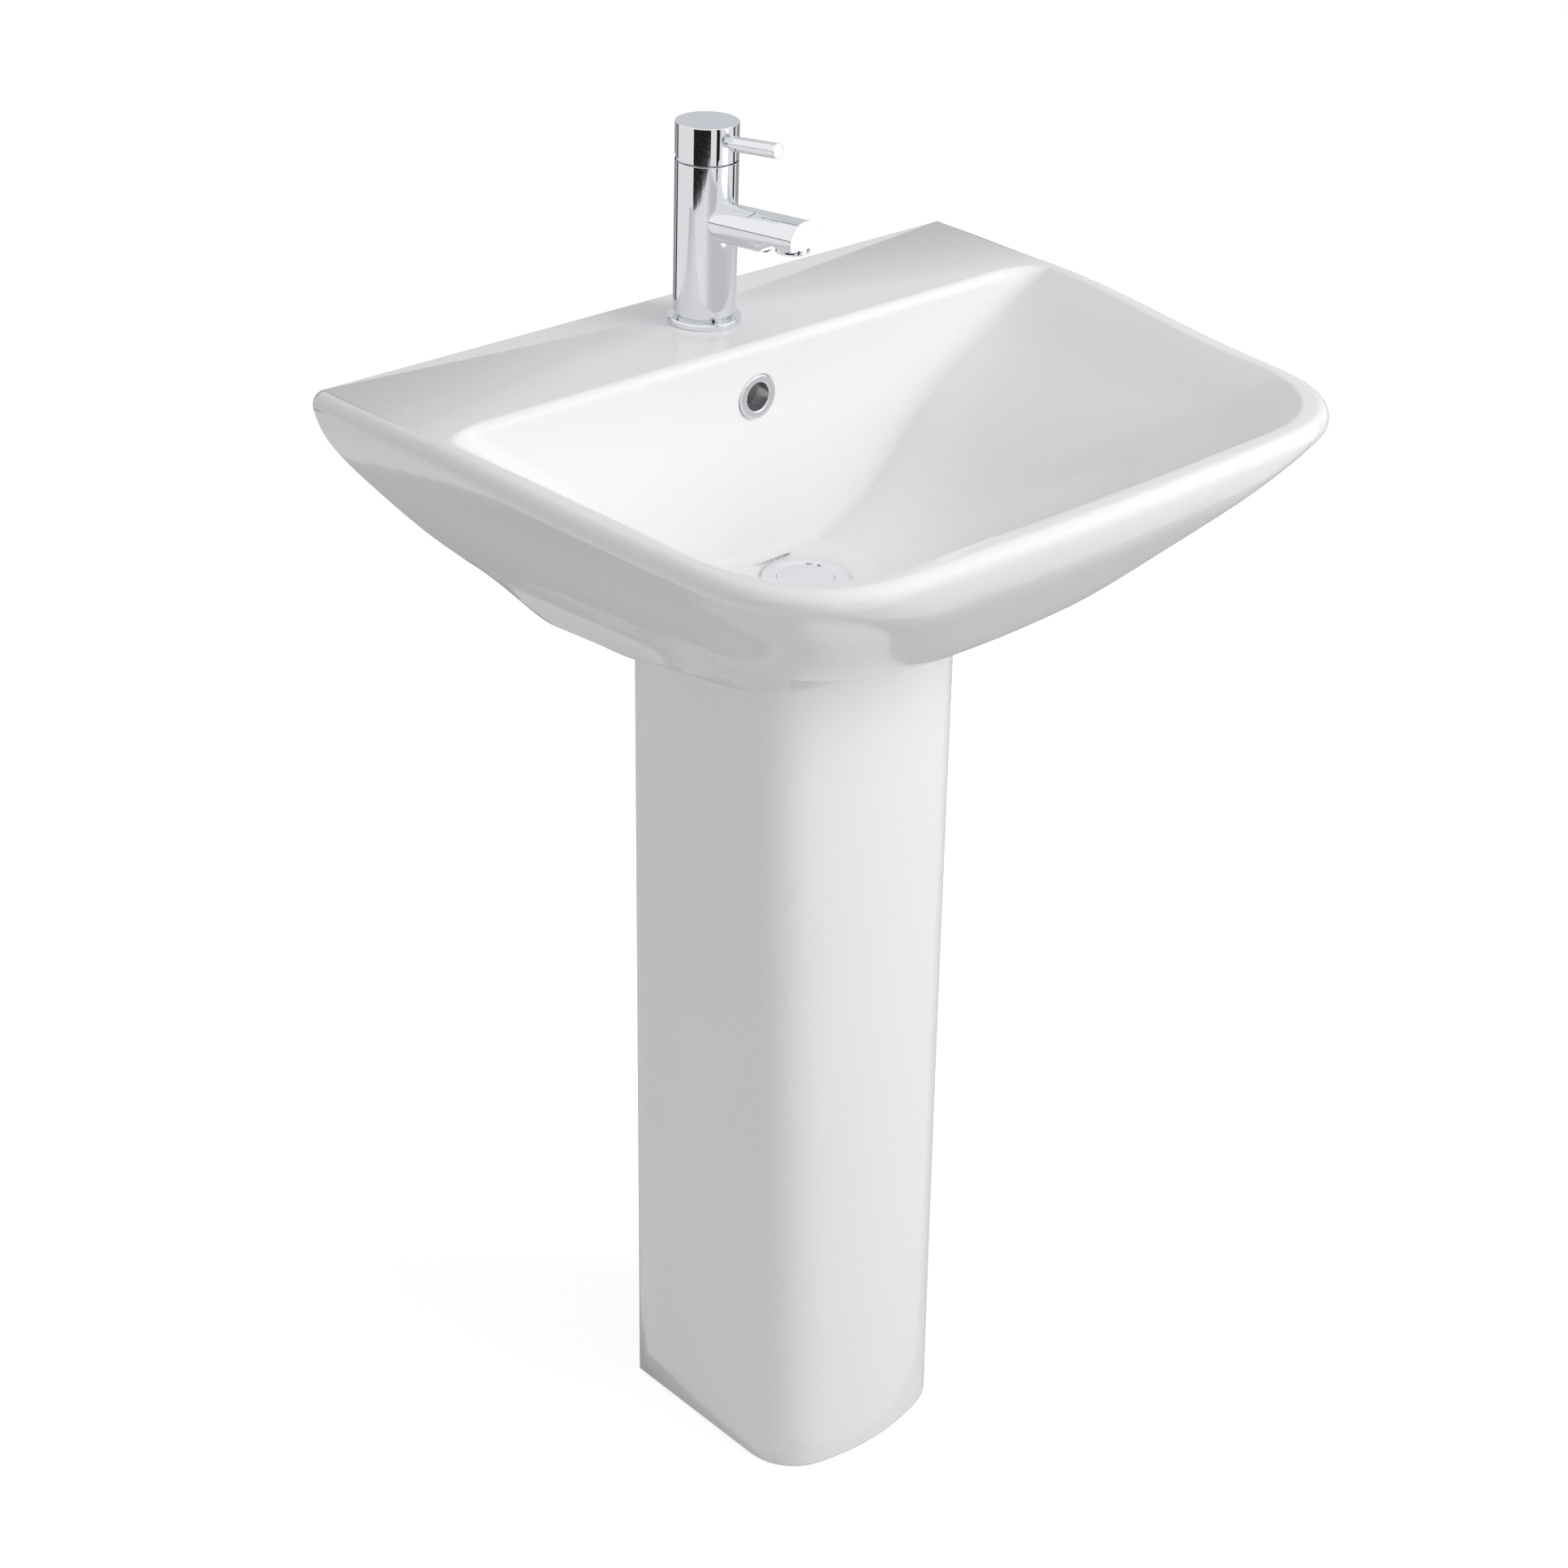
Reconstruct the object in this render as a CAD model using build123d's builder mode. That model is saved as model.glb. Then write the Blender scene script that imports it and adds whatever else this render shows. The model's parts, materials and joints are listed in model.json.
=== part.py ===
"""Pedestal wash basin with mono mixer tap, push-to-open slotted waste and bottle trap.

Millimetres. X runs along the wall, +Y points at the wall, +Z is up, and z = 0 is the floor.
Depths are given as distances out from the wall; out() turns one into a Y coordinate.
"""
from build123d import *
import os
from math import cos, radians, tan

# ------------------------------------------------------------------ driving dimensions
# basin
basin_width = 600.0
basin_depth = 456.0
basin_overhang = 6.0         # the sections start behind the wall plane and are cut flush
deck_height = 884.0          # deck top above the floor
deck_depth = 118.0           # wall to the crease in front of the tap
deck_thickness = 20.0
rim_height = 875.0           # front rim above the floor
rim_roll = 9.0               # outer edge rounding
lip_roll = 7.0               # inner edge rounding
belly_height = 682.0         # lowest part of the basin's belly
china_wall = 14.0            # horizontal thickness of the skins
bowl_wall = 17.0             # horizontal thickness behind the bowl's slopes
back_panel = 14.0
# bowl
bowl_bow = 11.0              # how far the back wall of the bowl is dished
bowl_corner = 12.0           # rounding between the back wall and the slopes
bowl_floor = 725.0
waste_from_wall = 167.7
waste_seat = 721.5           # flat round the waste hole
waste_hole_radius = 23.0
waste_boss_radius = 38.0
waste_seat_radius = 33.5
# overflow
overflow_height = 843.0
overflow_hole_radius = 12.0
overflow_duct_width = 30.0
overflow_duct_depth = 14.0
overflow_face = 110.8        # wall to the seat of the ring
duct_near = 86.0             # wall to the back of the duct
ring_radius = 16.5
ring_bore = 10.3
ring_depth = 3.2
# wall bolt holes
wall_hole_spacing = 280.0
wall_hole_height = 815.0
wall_hole_radius = 7.0
# pedestal
foot_width = 178.2
neck_width = 198.6
pedestal_back = 96.2         # wall to the rear edge
foot_front = 284.7
neck_front = 256.3
neck_height = 704.0
pedestal_corner = 46.7
pedestal_bow = 21.3
pedestal_wall = 13.0
seam_back_height = 661.5     # joint between basin and pedestal, at the rear edge
seam_front_height = 688.0    # and at the front
floor_hole_radius = 4.0
floor_hole_spacing = 118.0
floor_lug_out = 150.0        # wall to the holes
floor_lug = 26.0
lug_size = 14.0
# tap
tap_from_wall = 54.2
tap_hole_radius = 17.5
tap_height = 143.9
tap_radius = 22.5
base_ring_radius = 26.7
base_ring_height = 4.5
gasket_outer = 24.5
gasket_inner = 20.0
gasket_thickness = 1.5
neck_radius = 20.7
spigot_radius = 16.5
neck_gap = 3.5
parting_height = 116.8       # top of the tap body above the deck
parting_gap = 0.9
spout_radius = 14.15
spout_rise = 5.5             # degrees
spout_axis_height = 74.2     # above the deck, on the tap's axis
spout_reach = 101.8          # tap axis to the end face
aerator_reach = 89.0
aerator_radius = 12.0
aerator_flat_height = 78.3
aerator_flat_behind = 15.2   # the flat starts this far behind the aerator's axis
aerator_thread = 10.9
aerator_screen = 7.6
aerator_drop = 4.6
lever_radius = 5.25
lever_neck = 3.5
lever_reach = 72.5
lever_rise = 7.2             # degrees
lever_axis_height = 130.4    # above the deck, on the tap's axis
relief_angle = 16.8          # slope under the rear of the handle cap
lift_pivot_height = 113.0    # above the deck
stud_radius = 3.95
inlet_radius = 4.75
inlet_offset = 7.0           # either side of the middle
port_back = 4.0              # inlets lie this far behind the tap's axis
port_radius = 2.5
outlet_port_front = 8.0      # and the outlet port this far in front
outlet_port_radius = 3.0
stud_front = 8.5             # fixing stud in front of the tap's axis
horseshoe_radius = 24.0      # washers under the deck
chamber_radius = 17.6
rotor_radius = 10.4
collar_radius = 13.0         # neck of the cartridge housing
ceramic_thickness = 3.0
pin_radius = 1.45
ball_radius = 2.2
ball_gap = 0.15
# waste
flange_radius = 32.0
flange_thickness = 2.0
plug_radius = 20.9
plug_gap = 0.45
thread_radius = 20.8
bore_radius = 17.5
plug_seat = 719.5
plug_stem_radius = 3.15
cartridge_stem = 3.0
bridge_height = 687.0        # bridge in the waste that carries the pop-up cartridge
back_nut_across = 30.0       # radius over the corners
tail_end = 650.0
# trap
trap_radius = 36.0
trap_wall = 3.0
trap_axis_height = 588.0
outlet_spigot_end = 100.0    # distance from the wall
trap_bottom = 505.0
trap_neck_radius = 19.5
trap_neck_bore = 17.6
dip_tube_radius = 17.0
spigot_outer = 19.0
outlet_pipe_radius = 16.0
outlet_end_length = 60.0     # plain end of the pipe that enters the wall fitting
outlet_stop = 4.0            # length of the tapered stop behind it
outlet_tail_radius = 15.8    # the pipe's other end, inside the trap's nut
# clearances
slip_clearance = 0.1
bedding = 0.1

# ------------------------------------------------------------------ derived places
wall_y = basin_depth / 2


def out(distance):
    """Y of a point this far out from the wall."""
    return wall_y - distance


tap_y = out(tap_from_wall)
waste_y = out(waste_from_wall)
deck = deck_height
body_top = deck + parting_height
pivot_z = deck + lift_pivot_height
lever_z = deck + lever_axis_height
aerator_y = tap_y - aerator_reach
plug_under = plug_seat + 2.0
half = basin_width / 2
side_port = tap_y + port_back          # the two inlets and their ports
outlet_port = tap_y - outlet_port_front


def plan(height, rear_half, front_half, back, front, corner, bow):
    """Horizontal section: straight back, and one smooth line round the sides and bowed front."""
    side = out(front - bow)
    with BuildSketch(Plane.XY.offset(height)) as blank:
        with BuildLine():
            Line((-front_half, side), (-rear_half, out(back)))
            Line((-rear_half, out(back)), (rear_half, out(back)))
            Line((rear_half, out(back)), (front_half, side))
            ThreePointArc((front_half, side), (0, out(front)), (-front_half, side))
        make_face()
        fillet(blank.vertices().sort_by(Axis.Y)[:2], corner)
    line = Wire(blank.edges().sort_by(Axis.Y)[:-1])
    step = 1 if (line @ 0).X < 0 else -1
    stations = [line @ (count / 24) for count in range(25)][::step]
    heading = (rear_half - front_half, out(back) - side)
    with BuildSketch(Plane.XY.offset(height)) as section:
        with BuildLine():
            Spline([(spot.X, spot.Y) for spot in stations], tangents=[(heading[0], -heading[1]), heading])
            Line((rear_half, out(back)), (-rear_half, out(back)))
        make_face()
    return section.sketch


standing = (Align.CENTER, Align.CENTER, Align.MIN)


def disc(y, low, high, radius, mode=Mode.ADD, x=0.0):
    """An upright round between two heights."""
    with Locations((x, y, low)):
        Cylinder(radius, high - low, align=standing, mode=mode)


def taper(y, low, high, low_radius, high_radius, mode=Mode.ADD):
    """An upright cone between two heights."""
    with Locations((0, y, low)):
        Cone(low_radius, high_radius, high - low, align=standing, mode=mode)


def block(x, y, z, mode=Mode.ADD):
    """A box given by its ends along each axis."""
    middle = ((x[0] + x[1]) / 2, (y[0] + y[1]) / 2, (z[0] + z[1]) / 2)
    with Locations(middle):
        Box(x[1] - x[0], abs(y[1] - y[0]), z[1] - z[0], mode=mode)


def level(x, near, far, height, radius, mode=Mode.ADD):
    """A round lying along Y between two distances from the wall."""
    with Locations(Location((x, out(far), height), (-90, 0, 0))):
        Cylinder(radius, far - near, align=standing, mode=mode)


# ------------------------------------------------------------------ basin
# The outside is lofted through horizontal sections. Each row holds the drop below the
# deck, half width lost at the back and at the front, back, depth lost, front corner
# and front bow.
skin_rows = [
    (deck - belly_height, 166.0, 174.0, 58.0, 284.0, 54.0, 14.0),
    (184.0, 149.0, 184.0, 24.0, 211.0, 82.0, 22.0),
    (149.0, 115.0, 153.0, -3.0, 116.0, 98.0, 20.0),
    (99.0, 64.0, 110.0, -basin_overhang, 59.0, 100.0, 16.0),
    (49.0, 20.0, 68.0, -basin_overhang, 16.0, 94.0, 12.0),
    (23.0, 5.0, 30.0, -basin_overhang, 3.0, 94.0, 11.0),
    (4.0, 0.4, 8.0, -basin_overhang, 0.2, 101.0, 10.0),
    (-10.0, 0.0, 1.0, -basin_overhang, 0.0, 106.0, 9.0),
]


def skin(inset, low, high, rear):
    """The outside's sections between two drops, drawn in all round by inset."""
    return [
        plan(deck - drop, half - side - inset, half - nose - inset, max(back, -basin_overhang) + rear,
             basin_depth - front - inset, corner - inset / 2, bow)
        for drop, side, nose, back, front, corner, bow in skin_rows
        if low <= drop <= high
    ]


# The bowl's slopes: drop below the deck, half width at the back and front, depth,
# front corner and bow.
bowl_back = 60.0
bowl_rows = [
    (-10.0, 293.0, 287.0, 462.0, 90.0, 8.0),
    (0.0, 281.0, 275.0, 450.0, 88.0, 8.0),
    (14.0, 259.0, 252.0, 429.0, 87.0, 8.0),
    (34.0, 232.0, 224.0, 400.0, 86.0, 8.0),
    (54.0, 203.0, 194.0, 368.0, 85.0, 8.0),
    (84.0, 165.0, 156.0, 324.0, 82.0, 7.0),
    (109.0, 139.0, 131.0, 291.0, 78.0, 6.0),
    (137.0, 103.0, 98.0, 255.0, 68.0, 5.0),
    (148.0, 82.0, 78.0, 238.0, 60.0, 4.0),
    (deck - bowl_floor, 50.0, 48.0, 216.0, 44.0, 3.0),
]


def bowl(grow, lower):
    """The bowl's sections, grown all round and lowered."""
    return [
        plan(deck - drop - lower, rear + grow, nose + grow, bowl_back - grow,
             front + grow, corner + grow / 2, bow)
        for drop, rear, nose, front, corner, bow in bowl_rows
    ]


def wall_face(shift, low, high):
    """Everything in front of the bowl's dished back wall, moved back by shift."""
    with BuildPart() as region:
        with BuildSketch(Plane.YZ.offset(-basin_width)):
            with BuildLine():
                top = (out(deck_depth - shift + 1.4), deck + 10.0)
                middle = (out(deck_depth - shift - bowl_bow + 4.0), (deck + bowl_floor) / 2)
                foot = (out(deck_depth - shift + 9.2), bowl_floor - 10.0)
                ThreePointArc(top, middle, foot)
                Polyline(
                    foot,
                    (out(deck_depth - shift + 9.2), low),
                    (out(basin_depth + 60.0), low),
                    (out(basin_depth + 60.0), high),
                    (out(deck_depth - shift + 1.4), high),
                    top,
                )
            make_face()
        extrude(amount=2 * basin_width)
    return region.part


def column(inset, low, high, back):
    """The pedestal's outline between two heights, drawn in by inset."""
    sections = []
    for height in (low, high):
        share = height / neck_height
        width = (foot_width + share * (neck_width - foot_width)) / 2 - inset
        front = foot_front + share * (neck_front - foot_front) - inset
        sections.append(plan(height, width, width, back, front, pedestal_corner - inset, pedestal_bow))
    with BuildPart() as post:
        loft(sections, ruled=True)
    return post.part


def below_seam(drop):
    """Everything more than drop under the sloping joint between basin and pedestal."""
    with BuildPart() as region:
        with BuildSketch(Plane.YZ.offset(-half)):
            slope = (seam_front_height - seam_back_height) / (neck_front - pedestal_back)
            with BuildLine():
                Polyline(
                    (out(0.0), seam_back_height - slope * pedestal_back - drop),
                    (out(basin_depth), seam_back_height + slope * (basin_depth - pedestal_back) - drop),
                    (out(basin_depth), -20.0),
                    (out(0.0), -20.0),
                    close=True,
                )
            make_face()
        extrude(amount=2 * half)
    return region.part


with BuildPart() as outside:
    loft(skin(0.0, -20.0, 300.0, 0.0))

with BuildPart() as above_rim:
    # Flat over the deck, then falling to the front rim.
    with BuildSketch(Plane.YZ.offset(-basin_width)):
        with BuildLine():
            start = (out(deck_depth + 8.0), deck)
            middle = (out((deck_depth + basin_depth) / 2), deck - 0.8 * (deck - rim_height))
            end = (out(basin_depth + 20.0), rim_height)
            Line((wall_y + 20.0, deck), start)
            Spline(start, middle, end, tangents=[(-1.0, 0.0), (-1.0, 0.0)])
            above = deck + 60.0
            Polyline(end, (out(basin_depth + 20.0), above), (wall_y + 20.0, above), (wall_y + 20.0, deck))
        make_face()
    extrude(amount=2 * basin_width)

with BuildPart() as in_front_of_wall:
    with BuildSketch(Plane.XY):
        with Locations((0, out(basin_depth))):
            Rectangle(2 * basin_width, 2 * basin_depth)
    extrude(amount=deck + 100.0)

with BuildPart() as bowl_tool:
    loft(bowl(0.0, 0.0))
    add(wall_face(0.0, bowl_floor - 60.0, deck + 40.0), mode=Mode.INTERSECT)
    wall = bowl_tool.faces().filter_by(GeomType.CYLINDER).sort_by(Axis.Y)[-1]
    fillet(wall.edges().filter_by_position(Axis.Z, bowl_floor - 1.0, deck), bowl_corner)

with BuildPart() as hollow:
    # Space between the outer skin and the bowl: under the deck and inside the collar.
    loft(skin(china_wall, 0.0, 170.0, back_panel + 6.0))
    with Locations((0, 0, deck - deck_thickness)):
        Box(2 * basin_width, 2 * basin_depth, 60.0, align=standing, mode=Mode.SUBTRACT)
    add(column(pedestal_wall, 600.0, 745.0, pedestal_back - 60.0))
    block((-95.0, 95.0), (out(-10.0), out(40.0)), (694.0, deck - deck_thickness - 14.0))
with BuildPart() as bowl_back_tool:
    loft(bowl(bowl_wall, 12.0)[::3])
    behind = (out(duct_near + 15.0), wall_y + 20.0)
    block((-half, half), behind, (bowl_floor - 80.0, deck + 40.0), Mode.SUBTRACT)
with BuildPart() as hollow_tool:
    add(hollow.part)
    add(bowl_back_tool.part, mode=Mode.SUBTRACT)
    disc(waste_y, belly_height, bowl_floor, waste_boss_radius, Mode.SUBTRACT)
    block((-26.0, 26.0), (out(duct_near - 6.0), out(overflow_face)), (690.0, deck - 10.0), Mode.SUBTRACT)
    block((-22.0, 22.0), (out(100.0), out(140.0)), (690.0, 722.0), Mode.SUBTRACT)

with BuildPart() as collar:
    add(column(0.0, 640.0, waste_seat - 1.5, pedestal_back))
    add(below_seam(0.0), mode=Mode.SUBTRACT)

with BuildPart() as basin:
    add(outside.part)
    add(in_front_of_wall.part, mode=Mode.INTERSECT)
    add(above_rim.part, mode=Mode.SUBTRACT)
    rim = basin.edges().filter_by_position(Axis.Z, rim_height - 0.5, deck + 0.5)
    rim = rim.filter_by(lambda edge: abs(edge.center().Y - out(deck_depth + 8.0)) > 1.0 or edge.length < half)
    rim = rim.filter_by(lambda edge: abs(edge.center().Y - wall_y) > 1.0)
    fillet(rim, rim_roll)
    add(bowl_tool.part, mode=Mode.SUBTRACT)
    mouth = basin.edges(Select.LAST).filter_by_position(Axis.Z, rim_height - 2.0, deck + 0.5)
    mouth = mouth.filter_by(lambda edge: bowl_tool.part.distance_to(Vertex(*(edge @ 0.4))) < 0.01)
    fillet(mouth, lip_roll)
    # Collar on the pedestal, then the hollow underside.
    add(collar.part)
    add(hollow_tool.part, mode=Mode.SUBTRACT)
    # Dish and hole for the waste, and the boss it is tightened against.
    taper(waste_y, waste_seat, bowl_floor, waste_seat_radius, waste_seat_radius + 6.0, Mode.SUBTRACT)
    disc(waste_y, belly_height - 40.0, bowl_floor, waste_hole_radius, Mode.SUBTRACT)
    # Overflow: hole in the bowl, duct behind it and a passage into the waste hole.
    level(0.0, overflow_face, overflow_face + 20.0, overflow_height, ring_radius + 0.5, Mode.SUBTRACT)
    level(0.0, duct_near, overflow_face + 1.0, overflow_height, overflow_hole_radius, Mode.SUBTRACT)
    duct = (-overflow_duct_width / 2, overflow_duct_width / 2)
    block(duct, (out(duct_near), out(duct_near + overflow_duct_depth)), (700.0, 858.0), Mode.SUBTRACT)
    block((-12.0, 12.0), (out(duct_near), out(waste_from_wall - 10.0)), (700.0, 710.0), Mode.SUBTRACT)
    # Tap hole and wall bolt holes.
    disc(tap_y, deck - deck_thickness - 4.0, deck + 4.0, tap_hole_radius, Mode.SUBTRACT)
    for side in (-1, 1):
        hole_x = side * wall_hole_spacing / 2
        level(hole_x, -5.0, back_panel + 20.0, wall_hole_height, wall_hole_radius, Mode.SUBTRACT)

with BuildPart() as pedestal:
    add(column(0.0, 0.0, 720.0, pedestal_back))
    foot = pedestal.edges().filter_by_position(Axis.Z, -0.5, 0.5).sort_by(Axis.Y)[0]
    fillet(foot, 3.0)
    add(column(pedestal_wall, -10.0, 740.0, pedestal_back - 60.0), mode=Mode.SUBTRACT)
    add(below_seam(bedding), mode=Mode.INTERSECT)
    inner = foot_width / 2 - pedestal_wall
    for side in (-1, 1):
        near = side * (inner + 3.0)
        far = side * (inner - floor_lug)
        lug_y = (out(floor_lug_out - lug_size), out(floor_lug_out + lug_size))
        block((min(near, far), max(near, far)), lug_y, (0.0, lug_size))
        disc(out(floor_lug_out), -1.0, 20.0, floor_hole_radius, Mode.SUBTRACT, side * floor_hole_spacing / 2)

with BuildPart() as overflow_ring:
    level(0.0, overflow_face, overflow_face + ring_depth, overflow_height, ring_radius)
    sleeve_end = duct_near + overflow_duct_depth + 0.5
    level(0.0, sleeve_end, overflow_face, overflow_height, overflow_hole_radius - slip_clearance)
    front_edges = overflow_ring.edges().filter_by_position(Axis.Y, out(overflow_face + ring_depth) - 0.1,
                                                           out(overflow_face + ring_depth) + 0.1)
    fillet(front_edges, 1.4)
    level(0.0, 90.0, overflow_face + 20.0, overflow_height, ring_bore, Mode.SUBTRACT)

# ------------------------------------------------------------------ waste
with BuildPart() as waste_top_gasket:
    disc(waste_y, waste_seat, waste_seat + 0.5, flange_radius - 1.0)
    disc(waste_y, waste_seat - 1.0, waste_seat + 1.0, 24.0, Mode.SUBTRACT)

flange_low = waste_seat + 0.5
flange_top = flange_low + flange_thickness
with BuildPart() as waste_body:
    disc(waste_y, flange_low, flange_top, flange_radius)
    fillet(waste_body.edges().group_by(Axis.Z)[-1], 1.2)
    disc(waste_y, 716.0, flange_low, waste_hole_radius - 0.4)
    disc(waste_y, tail_end, 716.0, thread_radius)
    disc(waste_y, plug_seat, flange_top + 1.0, plug_radius + plug_gap, Mode.SUBTRACT)
    disc(waste_y, tail_end - 1.0, plug_seat + 0.5, bore_radius, Mode.SUBTRACT)
    # Overflow slots, and a bridge that carries the pop-up cartridge.
    with Locations((0, waste_y, 705.0)):
        Box(60.0, 10.0, 10.0, mode=Mode.SUBTRACT)
        Box(10.0, 60.0, 10.0, mode=Mode.SUBTRACT)
    with Locations((0, waste_y, bridge_height)):
        Box(2 * bore_radius + 2.0, 7.0, 6.0)
    disc(waste_y, bridge_height - 3.0, bridge_height + 3.0, 8.0)
    disc(waste_y, bridge_height - 4.0, bridge_height + 4.0, cartridge_stem + 0.05, Mode.SUBTRACT)

with BuildPart() as pop_up_cartridge:
    disc(waste_y, bridge_height + 3.0, 712.0, 6.0)
    disc(waste_y, bridge_height - 2.5, bridge_height + 3.0, cartridge_stem)
    chamfer(pop_up_cartridge.edges().group_by(Axis.Z)[-1], 0.6)
    disc(waste_y, 696.0, 713.0, plug_stem_radius + 0.05, Mode.SUBTRACT)

with BuildPart() as waste_plug:
    disc(waste_y, plug_under, plug_under + 1.4, plug_radius)
    taper(waste_y, plug_under + 1.4, plug_under + 3.1, plug_radius, plug_radius - 6.0)
    fillet(waste_plug.edges().group_by(Axis.Z)[-1], 1.0)
    disc(waste_y, plug_under - 1.7, plug_under, 17.0)
    disc(waste_y, 698.0, plug_under - 1.7, plug_stem_radius)
    fillet(waste_plug.edges().group_by(Axis.Z)[0], 0.6)

with BuildPart() as plug_seal:
    disc(waste_y, plug_under - 1.7, plug_under, 20.5)
    disc(waste_y, plug_under - 2.0, plug_under + 1.0, 17.0, Mode.SUBTRACT)

with BuildPart() as waste_cone_washer:
    disc(waste_y, belly_height - 4.0, belly_height, 30.0)
    chamfer(waste_cone_washer.edges().group_by(Axis.Z)[-1], 2.0)
    disc(waste_y, belly_height - 5.0, belly_height + 1.0, thread_radius + slip_clearance, Mode.SUBTRACT)

with BuildPart() as waste_back_nut:
    with BuildSketch(Plane.XY.offset(belly_height - 14.0)):
        with Locations((0, waste_y)):
            RegularPolygon(back_nut_across, 6)
    extrude(amount=10.0)
    disc(waste_y, belly_height - 15.0, belly_height, thread_radius + slip_clearance, Mode.SUBTRACT)

# ------------------------------------------------------------------ trap
neck_top = tail_end - 2.0
with BuildPart() as trap_inlet_nut:
    disc(waste_y, tail_end - 13.0, tail_end + 10.0, 26.0)
    chamfer(trap_inlet_nut.edges().group_by(Axis.Z)[-1], 1.5)
    chamfer(trap_inlet_nut.edges().group_by(Axis.Z)[0], 1.5)
    disc(waste_y, neck_top - 3.0, tail_end + 11.0, thread_radius + slip_clearance, Mode.SUBTRACT)
    disc(waste_y, tail_end - 14.0, neck_top, trap_neck_radius + slip_clearance, Mode.SUBTRACT)
    for count in range(12):
        with Locations(Location((0, waste_y, tail_end - 13.0), (0, 0, 30.0 * count))):
            with Locations((26.6, 0, 10.0)):
                Box(2.4, 4.0, 16.0, mode=Mode.SUBTRACT)

with BuildPart() as trap_inlet_washer:
    disc(waste_y, neck_top, tail_end, 20.7)
    disc(waste_y, neck_top - 1.0, tail_end + 1.0, trap_neck_bore, Mode.SUBTRACT)

head_low = trap_axis_height - 28.0
head_top = trap_axis_height + 22.0
with BuildPart() as trap_body:
    disc(waste_y, head_low, head_top, trap_radius)
    fillet(trap_body.edges().group_by(Axis.Z)[-1], 5.0)
    disc(waste_y, head_top - 8.0, neck_top, trap_neck_radius)
    disc(waste_y, neck_top - 3.0, neck_top, 20.5)
    level(0.0, outlet_spigot_end, waste_from_wall, trap_axis_height, spigot_outer)
    disc(waste_y, head_low - 1.0, head_top - 5.0, trap_radius - trap_wall, Mode.SUBTRACT)
    level(0.0, outlet_spigot_end - 1.0, waste_from_wall - 20.0, trap_axis_height,
          outlet_tail_radius + 0.3, Mode.SUBTRACT)
    disc(waste_y, trap_bottom + 15.0, neck_top - 20.0, dip_tube_radius)
    disc(waste_y, trap_bottom + 14.0, neck_top + 1.0, dip_tube_radius - 2.5, Mode.SUBTRACT)

with BuildPart() as trap_cup:
    disc(waste_y, trap_bottom, head_low + 8.0, trap_radius + 3.5)
    fillet(trap_cup.edges().group_by(Axis.Z)[0], 8.0)
    disc(waste_y, head_low - 2.0, head_low + 15.0, trap_radius + slip_clearance, Mode.SUBTRACT)
    disc(waste_y, trap_bottom + 3.0, head_low, trap_radius - 2.5, Mode.SUBTRACT)
    for count in range(16):
        with Locations(Location((0, waste_y, head_low - 2.0), (0, 0, 22.5 * count))):
            with Locations((trap_radius + 3.9, 0, 0)):
                Box(1.6, 4.0, 16.0, mode=Mode.SUBTRACT)

with BuildPart() as trap_cup_seal:
    disc(waste_y, head_low - 2.0, head_low, trap_radius - 0.1)
    disc(waste_y, head_low - 3.0, head_low + 1.0, trap_radius - 2.5, Mode.SUBTRACT)

with BuildPart() as trap_outlet_pipe:
    stop_end = outlet_end_length + outlet_stop
    level(0.0, 0.0, outlet_end_length, trap_axis_height, outlet_pipe_radius)
    with Locations(Location((0, out(stop_end), trap_axis_height), (-90, 0, 0))):
        Cone(outlet_pipe_radius + 2.0, outlet_pipe_radius, outlet_stop, align=standing)
    level(0.0, stop_end, outlet_spigot_end + 12.0, trap_axis_height, outlet_tail_radius)
    level(0.0, -1.0, outlet_spigot_end + 13.0, trap_axis_height, outlet_pipe_radius - 2.0, Mode.SUBTRACT)

with BuildPart() as trap_outlet_washer:
    level(0.0, outlet_spigot_end - 2.0, outlet_spigot_end, trap_axis_height, spigot_outer)
    level(0.0, outlet_spigot_end - 3.0, outlet_spigot_end + 1.0, trap_axis_height,
          outlet_tail_radius + slip_clearance, Mode.SUBTRACT)

with BuildPart() as trap_outlet_nut:
    level(0.0, outlet_spigot_end - 8.0, outlet_spigot_end + 18.0, trap_axis_height, 25.0)
    chamfer(trap_outlet_nut.edges().group_by(Axis.Y)[-1], 1.5)
    chamfer(trap_outlet_nut.edges().group_by(Axis.Y)[0], 1.5)
    level(0.0, outlet_spigot_end - 2.0, outlet_spigot_end + 19.0, trap_axis_height,
          spigot_outer + slip_clearance, Mode.SUBTRACT)
    level(0.0, outlet_spigot_end - 9.0, outlet_spigot_end, trap_axis_height,
          outlet_tail_radius + slip_clearance, Mode.SUBTRACT)
    for count in range(12):
        with Locations(Location((0, out(outlet_spigot_end + 5.0), trap_axis_height), (0, 30.0 * count, 0))):
            with Locations((25.6, 0, 0)):
                Box(2.4, 20.0, 4.0, mode=Mode.SUBTRACT)

# ------------------------------------------------------------------ tap body
ring_top = deck + base_ring_height
with BuildPart() as tap_base_ring:
    disc(tap_y, deck, ring_top, base_ring_radius)
    fillet(tap_base_ring.edges().group_by(Axis.Z)[-1], 1.2)
    disc(tap_y, deck - 1.0, deck + gasket_thickness, gasket_outer, Mode.SUBTRACT)
    disc(tap_y, deck, deck + gasket_thickness, gasket_inner)
    disc(tap_y, deck - 1.0, ring_top + 1.0, spigot_radius + slip_clearance, Mode.SUBTRACT)

with BuildPart() as tap_base_gasket:
    disc(tap_y, deck, deck + gasket_thickness, gasket_outer)
    disc(tap_y, deck - 1.0, deck + gasket_thickness + 1.0, gasket_inner, Mode.SUBTRACT)

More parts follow.
